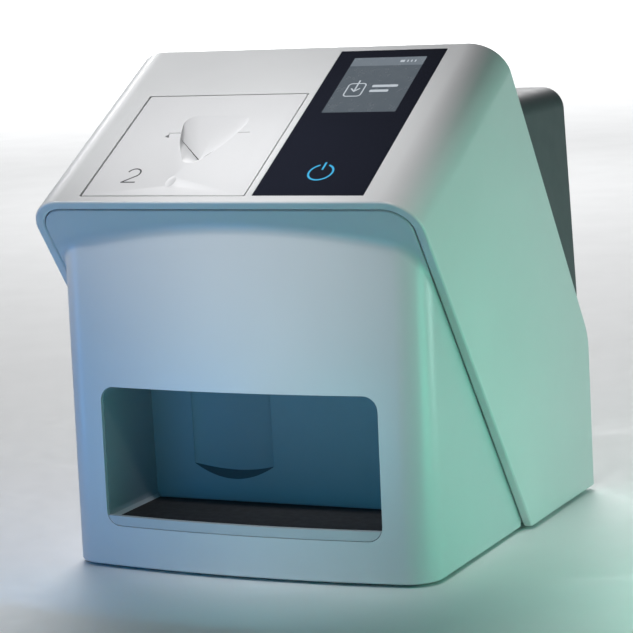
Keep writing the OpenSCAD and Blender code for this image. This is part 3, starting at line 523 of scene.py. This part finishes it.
def front_column(x, y, normal, share, start_x, side_down):
    """One upright row of points: foot, face, cove, brow and the lip inside the hood."""
    lean = Vector((0, math.sin(FACE_LEAN), math.cos(FACE_LEAN)))
    back = Vector((0, math.cos(FACE_LEAN), -math.sin(FACE_LEAN)))
    base = Vector((x, Y_FRONT + FACE_IN, FLOOR_Z)) + y * back
    out = Vector((math.sin(normal), -math.cos(normal), 0))
    base += lean * (y * math.tan(FACE_LEAN))
    meet = base + lean * ((FRONT_EDGE - base).dot(RIM_IN) / lean.dot(RIM_IN))
    down = (meet - FRONT_EDGE).dot(DOWN_RIM)
    if share <= 0:
        edge_x, edge_down = x, (RIM_W + SEAM) / math.sin(SLOPE_A - RIM_A)
    elif share <= 1:
        edge_x, edge_down = brow_edge(share, start_x, side_down)
    else:
        edge_x, edge_down = x, down
    edge = rim_point(edge_x, edge_down)
    length = (edge - meet).length
    along = (edge - meet).normalized() if length > 0.01 else -DOWN_RIM
    half_turn = math.acos(max(-1, min(1, -lean.dot(along)))) / 2
    radius = min(COVE_R, 0.6 * length * math.tan(half_turn))
    reach = radius / math.tan(half_turn)
    foot_r = 1.0
    foot_steps, face_steps, cove_steps, lip_steps = 4, 10, 8, 3
    row = [base - out * 5]
    for i in range(foot_steps + 1):
        a = math.pi / 2 * i / foot_steps
        row.append(base - out * foot_r * (1 - math.sin(a)) + lean * foot_r * (1 - math.cos(a)))
    top_of_face = meet - lean * reach
    low_of_face = row[-1]
    row += [low_of_face.lerp(top_of_face, i / face_steps) for i in range(1, face_steps + 1)]
    centre = meet + (along - lean).normalized() * (radius / math.sin(half_turn))
    start, end = top_of_face - centre, meet + along * reach - centre
    turn = math.pi - 2 * half_turn
    for i in range(1, cove_steps + 1):
        if radius < 0.01:
            row.append(Vector(meet))
        else:
            a = turn * i / cove_steps
            swing = start * math.sin(turn - a) + end * math.sin(a)
            row.append(centre + swing / math.sin(turn))
    lip = min(0.8, 0.3 * length)
    flat_end = edge - along * lip
    flat_start = meet + along * reach
    row += [flat_start.lerp(flat_end, i / lip_steps) for i in range(1, lip_steps + 1)]
    for i in range(1, lip_steps + 1):
        a = math.pi / 2 * i / lip_steps
        row.append(flat_end + along * lip * math.sin(a) + RIM_IN * lip * (1 - math.cos(a)))
    row.append(edge + RIM_IN * (RIM_D - 1))
    return row


def make_front():
    """The front housing: face, cove and brow as one wall with the window cut in it."""
    half = face_outline()
    start_x = max(p[0] for p in half if p[3] <= 0)
    side = next(p for p in half if p[3] >= 1)
    side_row = front_column(*side[:3], 2.0, start_x, 0)
    side_down = (side_row[-1] - FRONT_EDGE).dot(DOWN_RIM)
    right = [front_column(*p, start_x, side_down) for p in half]
    left = [[Vector((-q.x, q.y, q.z)) for q in row] for row in right[:0:-1]]
    rows = left + right
    points = [q for row in rows for q in row]
    front = build("front", points, grid_faces(len(rows), len(rows[0])), ["front"])
    tidy_mesh(front)
    middle = max(front.data.polygons, key=lambda p: -p.center.y)
    if middle.normal.y > 0:
        front.data.flip_normals()
    wall = front.modifiers.new("wall", "SOLIDIFY")
    wall.thickness = (FRONT_WALL - 0.4) * MM
    wall.offset = -1
    apply_modifiers(front)
    window = rounded_rect(WINDOW_W, WINDOW_H, WINDOW_R, 10, 0, WINDOW_Z + WINDOW_H / 2)
    cut(front, prism("cut", window, front_view, Y_FRONT - 5,
                     Y_FRONT + FACE_IN + FACE_R / 2, ["front"]))
    round_edges(front, 0.7, 3, 50)
    smooth(front, 40)
    adopt(front, "housing", "front_plastic", "front_housing")


def face_y(x, z):
    """The front face's y at a place on it."""
    centre_x = FACE_W / 2 - FACE_R
    bow_r = (centre_x ** 2 + FACE_BOW ** 2) / (2 * FACE_BOW) + FACE_R
    bow = bow_r - math.sqrt(bow_r ** 2 - x * x) - FACE_BOW
    return Y_FRONT + FACE_IN + bow + (z - FLOOR_Z) * math.tan(FACE_LEAN)


def make_chamber():
    """The walls behind the window, and the back wall with its gutter and scoop."""
    loop = rounded_rect(WINDOW_W, WINDOW_H, WINDOW_R, 10, 0, WINDOW_Z + WINDOW_H / 2)
    steps = 6
    points = []
    for x, z in loop:
        start = face_y(x, z) + FRONT_WALL + 0.3
        run = CHAMBER_Y + 1 - start
        points += [(x, start + run * k / steps, z) for k in range(steps + 1)]
    faces = grid_faces(len(loop), steps + 1, closed=True)
    walls = build("chamber_walls", points, faces, ["chamber"])
    shell = walls.modifiers.new("wall", "SOLIDIFY")
    shell.thickness = CHAMBER_WALL * MM
    apply_modifiers(walls)
    tidy_mesh(walls)
    path_y = Y_FRONT + (INSERT_V + SLOT_V) * math.cos(SLOPE_A)
    mouth = rounded_rect(SLOT_W + 2 * MOUTH_SIDE, MOUTH_L, 0.5, 2, PATH_X, path_y)
    cut(walls, prism("cut", mouth, plan_view, WINDOW_Z + WINDOW_H - 6,
                     WINDOW_Z + WINDOW_H + 12, ["chamber"]))
    smooth(walls, 40)

    half = GUTTER_W / 2
    edge = WINDOW_W / 2 + 1.5
    inner = [GUTTER_X + half * math.sin(math.pi / 2 * (i / 20 - 1)) for i in range(41)]
    columns = [-edge, -edge + 12, GUTTER_X - half - 1.5, *inner, GUTTER_X + half + 1.5]
    columns += [GUTTER_X + half + 20, 20, edge - 20, edge]
    columns = sorted(set(round(x, 3) for x in columns))
    low, high = WINDOW_Z - 1.5, WINDOW_Z + WINDOW_H + 1.5
    top = WINDOW_Z + GUTTER_UP
    points, face_mats = [], []
    for x in columns:
        u = (x - GUTTER_X) / half
        bowl = max(0.0, 1 - u * u)
        deep = CHAMBER_Y + GUTTER_D * bowl ** 0.6
        lip = top - SCOOP_H * bowl - 0.02
        rear = top - SCOOP_SAG * bowl
        column = [(x, CHAMBER_Y, low + (lip - low) * k / 5) for k in range(6)]
        column += [(x, CHAMBER_Y + (deep - CHAMBER_Y) * k / 3, lip + (rear - lip) * k / 3)
                   for k in (1, 2, 3)]
        column += [(x, deep, rear + (high - rear) * k / 5) for k in range(1, 6)]
        points += column
    rows = len(column)
    faces = grid_faces(len(columns), rows)
    # The scoop's faces, the ramp from lip to rear, take the near-black colour: painted shade.
    for i in range(len(columns) - 1):
        inside = abs((columns[i] + columns[i + 1]) / 2 - GUTTER_X) < half
        face_mats += [1 if inside and 5 <= k < 8 else 0 for k in range(rows - 1)]
    back = build("chamber_back", points, faces, ["chamber", "scoop"], face_mats)
    shell = back.modifiers.new("wall", "SOLIDIFY")
    shell.thickness = CHAMBER_BACK_WALL * MM
    middle = max(back.data.polygons, key=lambda p: p.center.x)
    shell.offset = -1 if middle.normal.y < 0 else 1
    apply_modifiers(back)
    smooth(back, 30)
    adopt(walls, "housing", "chamber_plastic", "output_chamber")
    adopt(back, "housing", "chamber_plastic", "output_chamber")


# ---------------------------------------------------------------- the plate insert

def funnel_half():
    """Right half of the funnel's mouth from its front tip to the middle of its rear edge."""
    r, half = FUNNEL_R, FUNNEL_W / 2
    tip_v, shoulder = FUNNEL_V - FUNNEL_L + r, (half - r, FUNNEL_V - r)
    flank = math.atan2(shoulder[1] - tip_v, shoulder[0]) - math.pi / 2
    outline = []
    for i in range(10):
        a = -math.pi / 2 + (flank + math.pi / 2) * i / 10
        outline.append((r * math.cos(a), tip_v + r * math.sin(a)))
    p = (r * math.cos(flank), tip_v + r * math.sin(flank))
    q = (shoulder[0] + r * math.cos(flank), shoulder[1] + r * math.sin(flank))
    for i in range(20):
        bulge = FLANK_BULGE * math.sin(math.pi * i / 20)
        outline.append((p[0] + (q[0] - p[0]) * i / 20 + bulge * math.cos(flank),
                        p[1] + (q[1] - p[1]) * i / 20 + bulge * math.sin(flank)))
    for i in range(14):
        a = flank + (math.pi / 2 - flank) * i / 14
        outline.append((shoulder[0] + r * math.cos(a), shoulder[1] + r * math.sin(a)))
    outline += [(shoulder[0] * (1 - i / 10), FUNNEL_V) for i in range(11)]
    return outline


def valley_point(t):
    """Place and depth along the funnel's valley: t is 0 in its middle and 1 at its end."""
    x = VALLEY_W * t
    return x, VALLEY_V + x * VALLEY_RISE, VALLEY_DEEP * (1 - 0.8 * t) * min(1.0, 6 * (1 - t))


def funnel_cutter():
    """The finger funnel's hollow: front facets, rear bowl and the slit between them."""
    half = funnel_half()
    ends = [i for i, p in enumerate(half) if p[1] < VALLEY_V + VALLEY_W * VALLEY_RISE]
    split = ends[-1] + 1
    loop = []
    for i, (x, v) in enumerate(half):
        front = i <= split
        t = i / split if front else 1 - (i - split) / (len(half) - 1 - split)
        loop.append((x, v, math.sin(math.pi / 2 * t) if front else t ** 1.5, front))
    loop += [(-x, v, -t, front) for x, v, t, front in loop[-2:0:-1]]
    rings = 14
    points, faces, face_mats = [], [], []
    for x, v, t, front in loop:
        side = math.copysign(1, t)
        vx, vv, deep = valley_point(abs(t))
        slit = SLIT_W * (1 - abs(t)) / 2
        goal = (side * vx, vv + (-slit if front else slit))
        points.append(on_slope(PATH_X + x, INSERT_V + v, 2))
        for k in range(rings + 1):
            s = k / rings
            fall = s if front else 1 - (1 - s) ** BOWL_POWER
            px, pv = x + (goal[0] - x) * s, v + (goal[1] - v) * s
            points.append(on_slope(PATH_X + px, INSERT_V + pv, -deep * fall))
        slit_floor = -deep - SLIT_DEEP * (1 - abs(t))
        points.append(on_slope(PATH_X + goal[0], INSERT_V + goal[1], slit_floor))
    rows = rings + 3
    faces = grid_faces(len(loop), rows, closed=True)
    # The slit's walls and floor take the near-black colour: painted shade for the slot's
    # depth.
    face_mats = [1 if k == rows - 2 else 0 for _ in loop for k in range(rows - 1)]
    count = len(loop)
    faces.append(tuple(i * rows for i in range(count)))
    face_mats.append(0)
    # The slit's floor, between its front and rear edges
    front_ids = list(range(-split, split + 1))
    rear_ids = list(range(split, count - split + 1))
    floor = [(i % count) * rows + rows - 1 for i in front_ids]
    floor += [i * rows + rows - 1 for i in rear_ids[1:-1]]
    faces.append(tuple(floor))
    face_mats.append(1)
    cutter = build("cut", points, faces, ["insert", "slit"], face_mats)
    tidy_mesh(cutter, 0.002)
    bm = bmesh.new()
    bm.from_mesh(cutter.data)
    bmesh.ops.triangulate(bm, faces=bm.faces)
    bm.to_mesh(cutter.data)
    bm.free()
    return cutter


def dimple_cutter(x, v, w, l, deep):
    """A shallow oval hollow."""
    rim, rings = 40, 6
    points = [on_slope(x, v, 1)]
    for i in range(rim):
        a = 2 * math.pi * i / rim
        for k in range(rings + 1):
            s = 1 - k / rings
            points.append(on_slope(x + w / 2 * s * math.cos(a), v + l / 2 * s * math.sin(a),
                                   0.02 - deep * (1 - s * s)))
    faces = [tuple(f + 1 for f in face) for face in grid_faces(rim, rings + 1, closed=True)]
    faces += [(0, 1 + ((i + 1) % rim) * (rings + 1), 1 + i * (rings + 1)) for i in range(rim)]
    cutter = build("cut", points, faces, ["insert"])
    tidy_mesh(cutter)
    return cutter


def make_insert():
    """The lift-off plate with its slot, funnel, notch and dimple."""
    corners = rounded_rect(INSERT_W, INSERT_L, 0.8, 4, INSERT_X, INSERT_V + INSERT_L / 2)
    plate = prism("plate_insert", corners, on_slope, -INSERT_T, 0, ["insert", "slit"])
    round_edges(plate, 0.35, 3, 60)
    cut(plate, funnel_cutter())
    end = SLOT_W / 2
    line_v = INSERT_V + SLOT_V
    half = GROOVE_W / 2
    groove = [(PATH_X - end, line_v - half), (PATH_X + end, line_v - half),
              (PATH_X + end, line_v + half), (PATH_X - end, line_v + half)]
    cut(plate, prism("cut", groove, on_slope, -GROOVE_DEEP, 1, ["insert"]))
    notch = [(PATH_X - end - 1.2, line_v - 3.4), (PATH_X - end + 1.9, line_v - 4.6),
             (PATH_X - end + 0.6, line_v - 0.6)]
    cut(plate, prism("cut", notch, on_slope, -NOTCH_DEEP, 1, ["insert", "slit"]))
    cut(plate, dimple_cutter(PATH_X - 3.6, INSERT_V + 12.4, 5.2, 9.5, 0.35))
    smooth(plate, 28)
    adopt(plate, "insert", "insert_plastic", "inlet_insert")


def ribbon(name, path, width, place, mats, thick=0.12, proud=0.04):
    """A flat stroke along a path; place(a, b, height) gives its points."""
    count = len(path)
    rows = []
    for i, (x, y) in enumerate(path):
        before, after = path[max(0, i - 1)], path[min(count - 1, i + 1)]
        along = Vector((after[0] - before[0], after[1] - before[1])).normalized()
        side = Vector((-along.y, along.x)) * width / 2
        rows.append(((x - side.x, y - side.y), (x + side.x, y + side.y)))
    points = []
    for (ax, ay), (bx, by) in rows:
        points += [place(ax, ay, -thick), place(ax, ay, proud), place(bx, by, proud),
                   place(bx, by, -thick)]
    obj = build(name, points, section_faces(count, 4), mats)
    tidy_mesh(obj)
    return obj


def make_numeral():
    """The numeral beside the slot."""
    x, v, r = PATH_X - 29.1, INSERT_V + 20.1, 3.8
    foot_v, stroke = INSERT_V + 11.9, 0.95
    top = [(x + r * math.cos(math.radians(a)), v + r * math.sin(math.radians(a)))
           for a in range(165, -36, -8)]
    path = top + [(x - r - 0.4, foot_v)]
    head = ribbon("numeral_two", path, stroke, on_slope, ["ink"])
    foot = ribbon("numeral_foot", [(x - r - 0.7, foot_v), (x + r + 0.4, foot_v)],
                  stroke, on_slope, ["ink"])
    adopt(head, "insert", "black_plastic")
    adopt(foot, "insert", "black_plastic")


# ---------------------------------------------------------------- the touch screen

def screen_patch(name, x0, x1, v0, v1, r, out, key, slot_name):
    """A thin lit patch of the display, seen through the glass."""
    outline = rounded_rect(x1 - x0, v1 - v0, r, 4, (x0 + x1) / 2, (v0 + v1) / 2)
    patch = prism(name, outline, on_slope, -0.1, out, [key])
    adopt(patch, "housing", slot_name)


def make_screen():
    """The lit display and its generic pictogram."""
    left, right = GLASS_X - 20.7, GLASS_X + 21.9
    low, split, top = INSERT_V + 74.2, INSERT_V + 118.4, INSERT_V + 126.4
    screen_patch("screen_area", left, right, low, split, 0.3, 0.03, "screen", "screen")
    screen_patch("screen_header", left, right, split, top, 0.3, 0.03, "header", "screen")
    middle = (low + split) / 2
    for i, width in enumerate((0.8, 0.8, 0.8, 2.6)):
        x = right - 5 - 2.2 * i
        screen_patch(f"header_mark_{i}", x - width, x, split + 3, split + 5, 0.3, 0.05,
                     "icon", "screen")
    # A plate outline with an arrow into it, and two bars beside it
    x, v, stroke = left + 11.5, middle, 0.9
    frame_path = rounded_rect(10, 12, 2, 5, x, v - 1)
    outline = ribbon("icon_plate", frame_path + frame_path[:1], 0.8, on_slope, ["icon"])
    shaft_path = [(x, v + 8), (x, v + 7), (x, v - 2.6)]
    arrow = ribbon("icon_arrow", shaft_path, stroke, on_slope, ["icon"])
    head_path = [(x - 2.6, v + 0.4), (x - 1.3, v - 1.0), (x, v - 2.6), (x + 1.3, v - 1.0),
                 (x + 2.6, v + 0.4)]
    head = ribbon("icon_head", head_path, stroke, on_slope, ["icon"])
    for obj in (outline, arrow, head):
        adopt(obj, "housing", "screen")
    bar_pitch, bar_x = 4.6, x + 9
    for i, length in enumerate((15, 11)):
        screen_patch(f"icon_bar_{i}", bar_x, bar_x + length, v + 1.2 - bar_pitch * i,
                     v + 3.4 - bar_pitch * i, 0.8, 0.06, "icon", "screen")


# ---------------------------------------------------------------- the tray

def make_tray():
    """The sliding tray with its front lip, as a run of side views."""
    gap, lip, floor = 0.3, 5.2, 1.7
    low, radius = WINDOW_Z + gap, WINDOW_R - gap
    top = low + lip
    half = WINDOW_W / 2 - gap
    centre = half - radius
    corner = [centre + radius * math.sin(math.radians(a)) for a in range(0, 91, 5)]
    corner = [x for x in corner if radius - math.sqrt(max(0, radius ** 2 - (x - centre) ** 2))
              < lip - 0.6]
    side = [centre * i / 12 for i in range(12)] + corner
    columns = [-x for x in side[:0:-1]] + side
    back_y = CHAMBER_Y - 2
    points = []
    for x in columns:
        reach = max(0.0, abs(x) - centre)
        bottom = low + radius - math.sqrt(max(0.0, radius ** 2 - reach ** 2))
        deck = max(low + floor, bottom + 0.3)
        section = [(face_y(x, bottom) + 0.2, bottom), (face_y(x, top) + 0.2, top),
                   (face_y(x, top) + FRONT_WALL, top), (face_y(x, deck) + FRONT_WALL, deck),
                   (back_y, deck), (back_y, bottom)]
        points += [Vector((x, y, z)) for y, z in section]
    faces = section_faces(len(columns), 6)
    tray = build("collecting_tray_body", points, faces, ["tray"])
    tidy_mesh(tray)
    round_edges(tray, 0.45, 3, 50)
    smooth(tray, 40)
    adopt(tray, "tray", "tray_plastic", "collecting_tray")


# ---------------------------------------------------------------- the rear housing

def rear_hole(rear, outline, reach):
    """Cuts an outline drawn from the front through the rear wall."""
    cut(rear, prism("cut", outline, front_view, Y_REAR - reach, Y_REAR + 5, ["rear"]))


def make_rear():
    """The dark casing behind the hood, with its vents and socket holes."""
    wall, knee, lean, top_z = 3.0, 118.0, 10.5, 238.0
    radius = 12.0
    half = HALF_W - RIM_W - SEAM

    def block(name, inset, low):
        top = top_z - inset
        outline = [(Y_RIDGE, top), (Y_REAR - lean - inset, top), (Y_REAR - inset, knee),
                   (Y_REAR - inset, low), (Y_REAR - SHOULDER_R, low)]
        obj = prism(name, outline, side_view, -half + inset, half - inset, ["rear"])
        bm = bmesh.new()
        bm.from_mesh(obj.data)
        edges = [e for e in bm.edges if abs(e.verts[0].co.x - e.verts[1].co.x) < MM / 10
                 and min(v.co.z for v in e.verts) > (top - 1) * MM
                 and max(v.co.y for v in e.verts) > (Y_RIDGE + 1) * MM]
        bmesh.ops.bevel(bm, geom=edges, offset=(radius - inset) * MM,
                        segments=8, profile=0.5, affect="EDGES", clamp_overlap=True)
        bm.to_mesh(obj.data)
        bm.free()
        return obj

    rear = block("rear_casing", 0, FLOOR_Z)
    round_edges(rear, 1.5, 3, 50)
    cut(rear, block("cut", wall, FLOOR_Z - 50))
    hood = [(y - RIM_D, z) for y, z in hood_profile()]
    cut(rear, prism("cut", hood, side_view, -2 * HALF_W, 2 * HALF_W, ["rear"]))
    fan_low, fan_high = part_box("fan_housing")
    fan_x, fan_z = (fan_low.x + fan_high.x) / 2 / MM, (fan_low.z + fan_high.z) / 2 / MM
    # Vents, each as its place, half width, foot and head
    slots = [(fan_x + i * 6, 1.2, fan_z - 18, fan_z + 18) for i in range(-3, 4)]
    slots += [(i * 9, 2.0, knee + 60, knee + 90) for i in range(-6, 7)]
    for x, w, z0, z1 in slots:
        rear_hole(rear, rounded_rect(2 * w, z1 - z0, w * 0.99, 6, x, (z0 + z1) / 2), 25)
    gap, screw_w = 0.3, 6.2
    plugs = {"network_socket": False, "dc_inlet": True, "reset_button": True}
    for node, is_round in plugs.items():
        low, high = (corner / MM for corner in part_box(node))
        cx, cz = (low.x + high.x) / 2, (low.z + high.z) / 2
        w, h = (high.x - low.x) + 2 * gap, (high.z - low.z) + 2 * gap
        r = min(w, h) * (0.495 if is_round else 0.06)
        rear_hole(rear, rounded_rect(w, h, r, 10, cx, cz), 10)
    low, high = (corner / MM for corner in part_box("rear_screws"))
    for x in (low.x + 3, high.x - 3):
        rear_hole(rear, rounded_rect(screw_w, screw_w, 3.09, 10, x, low.z + 3), 10)
    smooth(rear, 35)
    adopt(rear, "housing", "rear_plastic", "rear_housing")

    # The slanted plate between the hood's ridge and the flat top
    slant = math.atan2(RIDGE_Z - SHOULDER_H, Y_REAR - Y_RIDGE)
    down = Vector((0, math.cos(slant), -math.sin(slant)))
    inward = Vector((0, -math.sin(slant), -math.cos(slant)))
    start = Vector((0, Y_RIDGE, RIDGE_Z)) + RIM_D * inward
    length = (start.z - (top_z - wall)) / math.sin(slant)
    edge_r = HOOD_R - RIM_W - SEAM
    # It runs on past the casing's round top corners, to close the space beside them
    length += radius / math.sin(slant)
    outline = [(-half, length), (half, length)]
    gap = (RIM_W + SEAM) / math.cos(SLOPE_A - math.pi / 2 + slant)
    outline += [(half - edge_r + edge_r * math.cos(math.radians(a)),
                 gap + edge_r - edge_r * math.sin(math.radians(a))) for a in range(0, 91, 9)]
    outline += [(-half + edge_r - edge_r * math.cos(math.radians(a)),
                 gap + edge_r - edge_r * math.sin(math.radians(a))) for a in range(90, -1, -9)]
    plate = prism("ridge_plate", outline, lambda x, d, deep: start + x * X_AXIS + d * down
                  + deep * inward, 0, wall, ["rear"])
    round_edges(plate, 0.5, 2, 60)
    smooth(plate, 40)
    adopt(plate, "housing", "rear_plastic", "rear_housing")


# ---------------------------------------------------------------- carried-over nodes

CARRIED = {
    "base_plate": "steel", "rubber_feet": "foot", "base_screws": "screw",
    "rear_screws": "screw",
    "inlet_seat": "inner", "touch_glass": "glass", "standby_symbol": "symbol",
    "standby_light_guide": "lens", "display_panel": "screen", "display_carrier": "inner",
    "display_board": "board", "outlet_chute": "inner", "tray_mat": "mat", "bulkhead": "steel",
    "shelf_plate": "steel", "shelf_legs": "steel", "left_side_frame": "steel",
    "right_side_frame": "steel", "front_guide_plate": "inner", "rear_guide_plate": "inner",
    "shaft_bearings": "brass", "drive_shaft": "shaft", "drive_pulleys": "pulley",
    "idler_shaft": "shaft", "idler_pulleys": "pulley", "transport_belts": "belt",
    "drive_gear": "gear", "motor_pinion": "brass", "motor_shaft": "shaft",
    "drive_motor": "motor", "optical_bench": "alu", "scan_motor": "motor",
    "mirror_spindle": "shaft", "polygon_mirror": "mirror", "laser_module": "brass",
    "laser_mount": "alu", "scan_lens": "lens", "light_collector": "lens",
    "photomultiplier": "motor", "detector_bracket": "steel", "eraser_unit": "inner",
    "main_board": "board", "board_standoffs": "brass", "board_screws": "screw",
    "power_board": "board", "network_socket": "socket", "dc_inlet": "inner",
    "reset_button": "button", "reset_switch": "inner", "fan_housing": "motor",
    "fan_rotor": "inner",
}


def dress_carried():
    """Gives every carried-over CAD node its material."""
    for node, key in CARRIED.items():
        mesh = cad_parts[node].data
        mesh.materials.clear()
        mesh.materials.append(M[key])


# ---------------------------------------------------------------- studio

def make_stage():
    """A pale floor that runs far behind the object."""
    near, far, half = -3500, 16000, 9000
    turn = Matrix.Rotation(CAMERA_YAW, 4, "Z")
    rows = [near + (far - near) * (k / 12) for k in range(13)]
    points = [turn @ Vector((x, y, 0)) for y in rows for x in (-half, 0, half)]
    floor = build("studio_floor", points, grid_faces(len(rows), 3), ["floor"])
    tidy_mesh(floor)
    if floor.data.polygons[0].normal.z < 0:
        floor.data.flip_normals()


def make_camera():
    """The camera at the photograph's viewing angle."""
    fwd = Vector((-math.sin(CAMERA_YAW) * math.cos(CAMERA_PITCH),
                  math.cos(CAMERA_YAW) * math.cos(CAMERA_PITCH), -math.sin(CAMERA_PITCH)))
    right = Vector((math.cos(CAMERA_YAW), math.sin(CAMERA_YAW), 0))
    up = right.cross(fwd)
    cam_x = math.cos(CAMERA_ROLL) * right + math.sin(CAMERA_ROLL) * up
    cam_y = -math.sin(CAMERA_ROLL) * right + math.cos(CAMERA_ROLL) * up
    camera = bpy.data.cameras.new("camera")
    camera.lens = CAMERA_LENS
    camera.clip_end = CAMERA_FAR
    obj = bpy.data.objects.new("camera", camera)
    turn = Matrix((cam_x, cam_y, -fwd)).transposed().to_4x4()
    obj.matrix_world = Matrix.Translation(CAMERA_PLACE * MM) @ turn
    bpy.context.scene.collection.objects.link(obj)
    bpy.context.scene.camera = obj


# Soft boxes: place and aim in metres, size, colour and power
BLUE, TEAL, GREEN = (0.0, 0.36, 1.0), (0.02, 0.80, 1.0), (0.12, 1.0, 0.66)
WHITE, PALE = (1, 1, 1), (0.65, 1.0, 0.9)
SOFT_BOXES = {
    "overhead": ((0.10, -0.35, 1.5), (0, 0, 0.2), 0.9, WHITE, 1.1),
    "left_high": ((-1.5, -0.3, 1.0), (0, 0, 0.2), 0.7, WHITE, 1.0),
    "rear_fill": ((-0.7, 1.7, 0.9), (0, 0, 0.12), 0.8, WHITE, 4),
    "far_floor": ((-3.4, 7.2, 4.2), (-3.4, 7.6, 0), 6.0, WHITE, 900),
    "glow_left": ((-0.40, -0.26, 0.085), (-0.13, -0.08, 0.07), 0.15, BLUE, 0.17),
    "glow_front_left": ((-0.10, -0.24, 0.055), (-0.08, -0.12, 0.16), 0.08, BLUE, 0.055),
    "glow_front": ((0.03, -0.25, 0.055), (0.03, -0.12, 0.17), 0.08, TEAL, 0.042),
    "glow_right": ((0.37, -0.10, 0.08), (0.12, -0.02, 0.07), 0.14, GREEN, 0.25),
    "glow_rear": ((0.50, 0.20, 0.115), (0.12, 0.1, 0.09), 0.20, PALE, 0.50),
}
# Soft spots: place, aim, cone in degrees, radius and power
SPOTS = {
    "top_spot": ((-0.95, -0.62, 1.15), (-0.045, -0.02, 0.25), 13.5, 0.05, 74),
    "face_spot": ((0.12, -0.85, 1.30), (0.025, -0.115, 0.172), 8.2, 0.10, 112),
}
WORLD_COLOUR, WORLD_STRENGTH = (0.95, 0.97, 1), 0.05


def place_light(light, place, aim):
    """Hangs a light at a place, pointed at another, out of the camera's sight."""
    obj = bpy.data.objects.new(light.name, light)
    obj.location = place
    obj.rotation_euler = (Vector(place) - Vector(aim)).to_track_quat("Z", "Y").to_euler()
    obj.visible_camera = False
    bpy.context.scene.collection.objects.link(obj)


def make_lights():
    """A dim even sky, the soft boxes and the soft spots."""
    world = bpy.data.worlds.new("studio")
    world.use_nodes = True
    background = next(n for n in world.node_tree.nodes if n.type == "BACKGROUND")
    background.inputs["Color"].default_value = (*WORLD_COLOUR, 1)
    background.inputs["Strength"].default_value = WORLD_STRENGTH
    bpy.context.scene.world = world
    for name, (place, aim, size, colour, power) in SOFT_BOXES.items():
        light = bpy.data.lights.new(name, "AREA")
        light.shape = "SQUARE"
        light.size = size
        light.energy = power
        light.color = colour
        place_light(light, place, aim)
    for name, (place, aim, cone, radius, power) in SPOTS.items():
        light = bpy.data.lights.new(name, "SPOT")
        light.spot_size = math.radians(cone)
        light.spot_blend = 1.0
        light.shadow_soft_size = radius
        light.energy = power
        place_light(light, place, aim)


bpy.context.scene.view_settings.view_transform = "Standard"
make_camera()
make_hood()
make_front()
make_chamber()
make_insert()
make_numeral()
make_screen()
make_tray()
make_rear()
dress_carried()
make_stage()
make_lights()
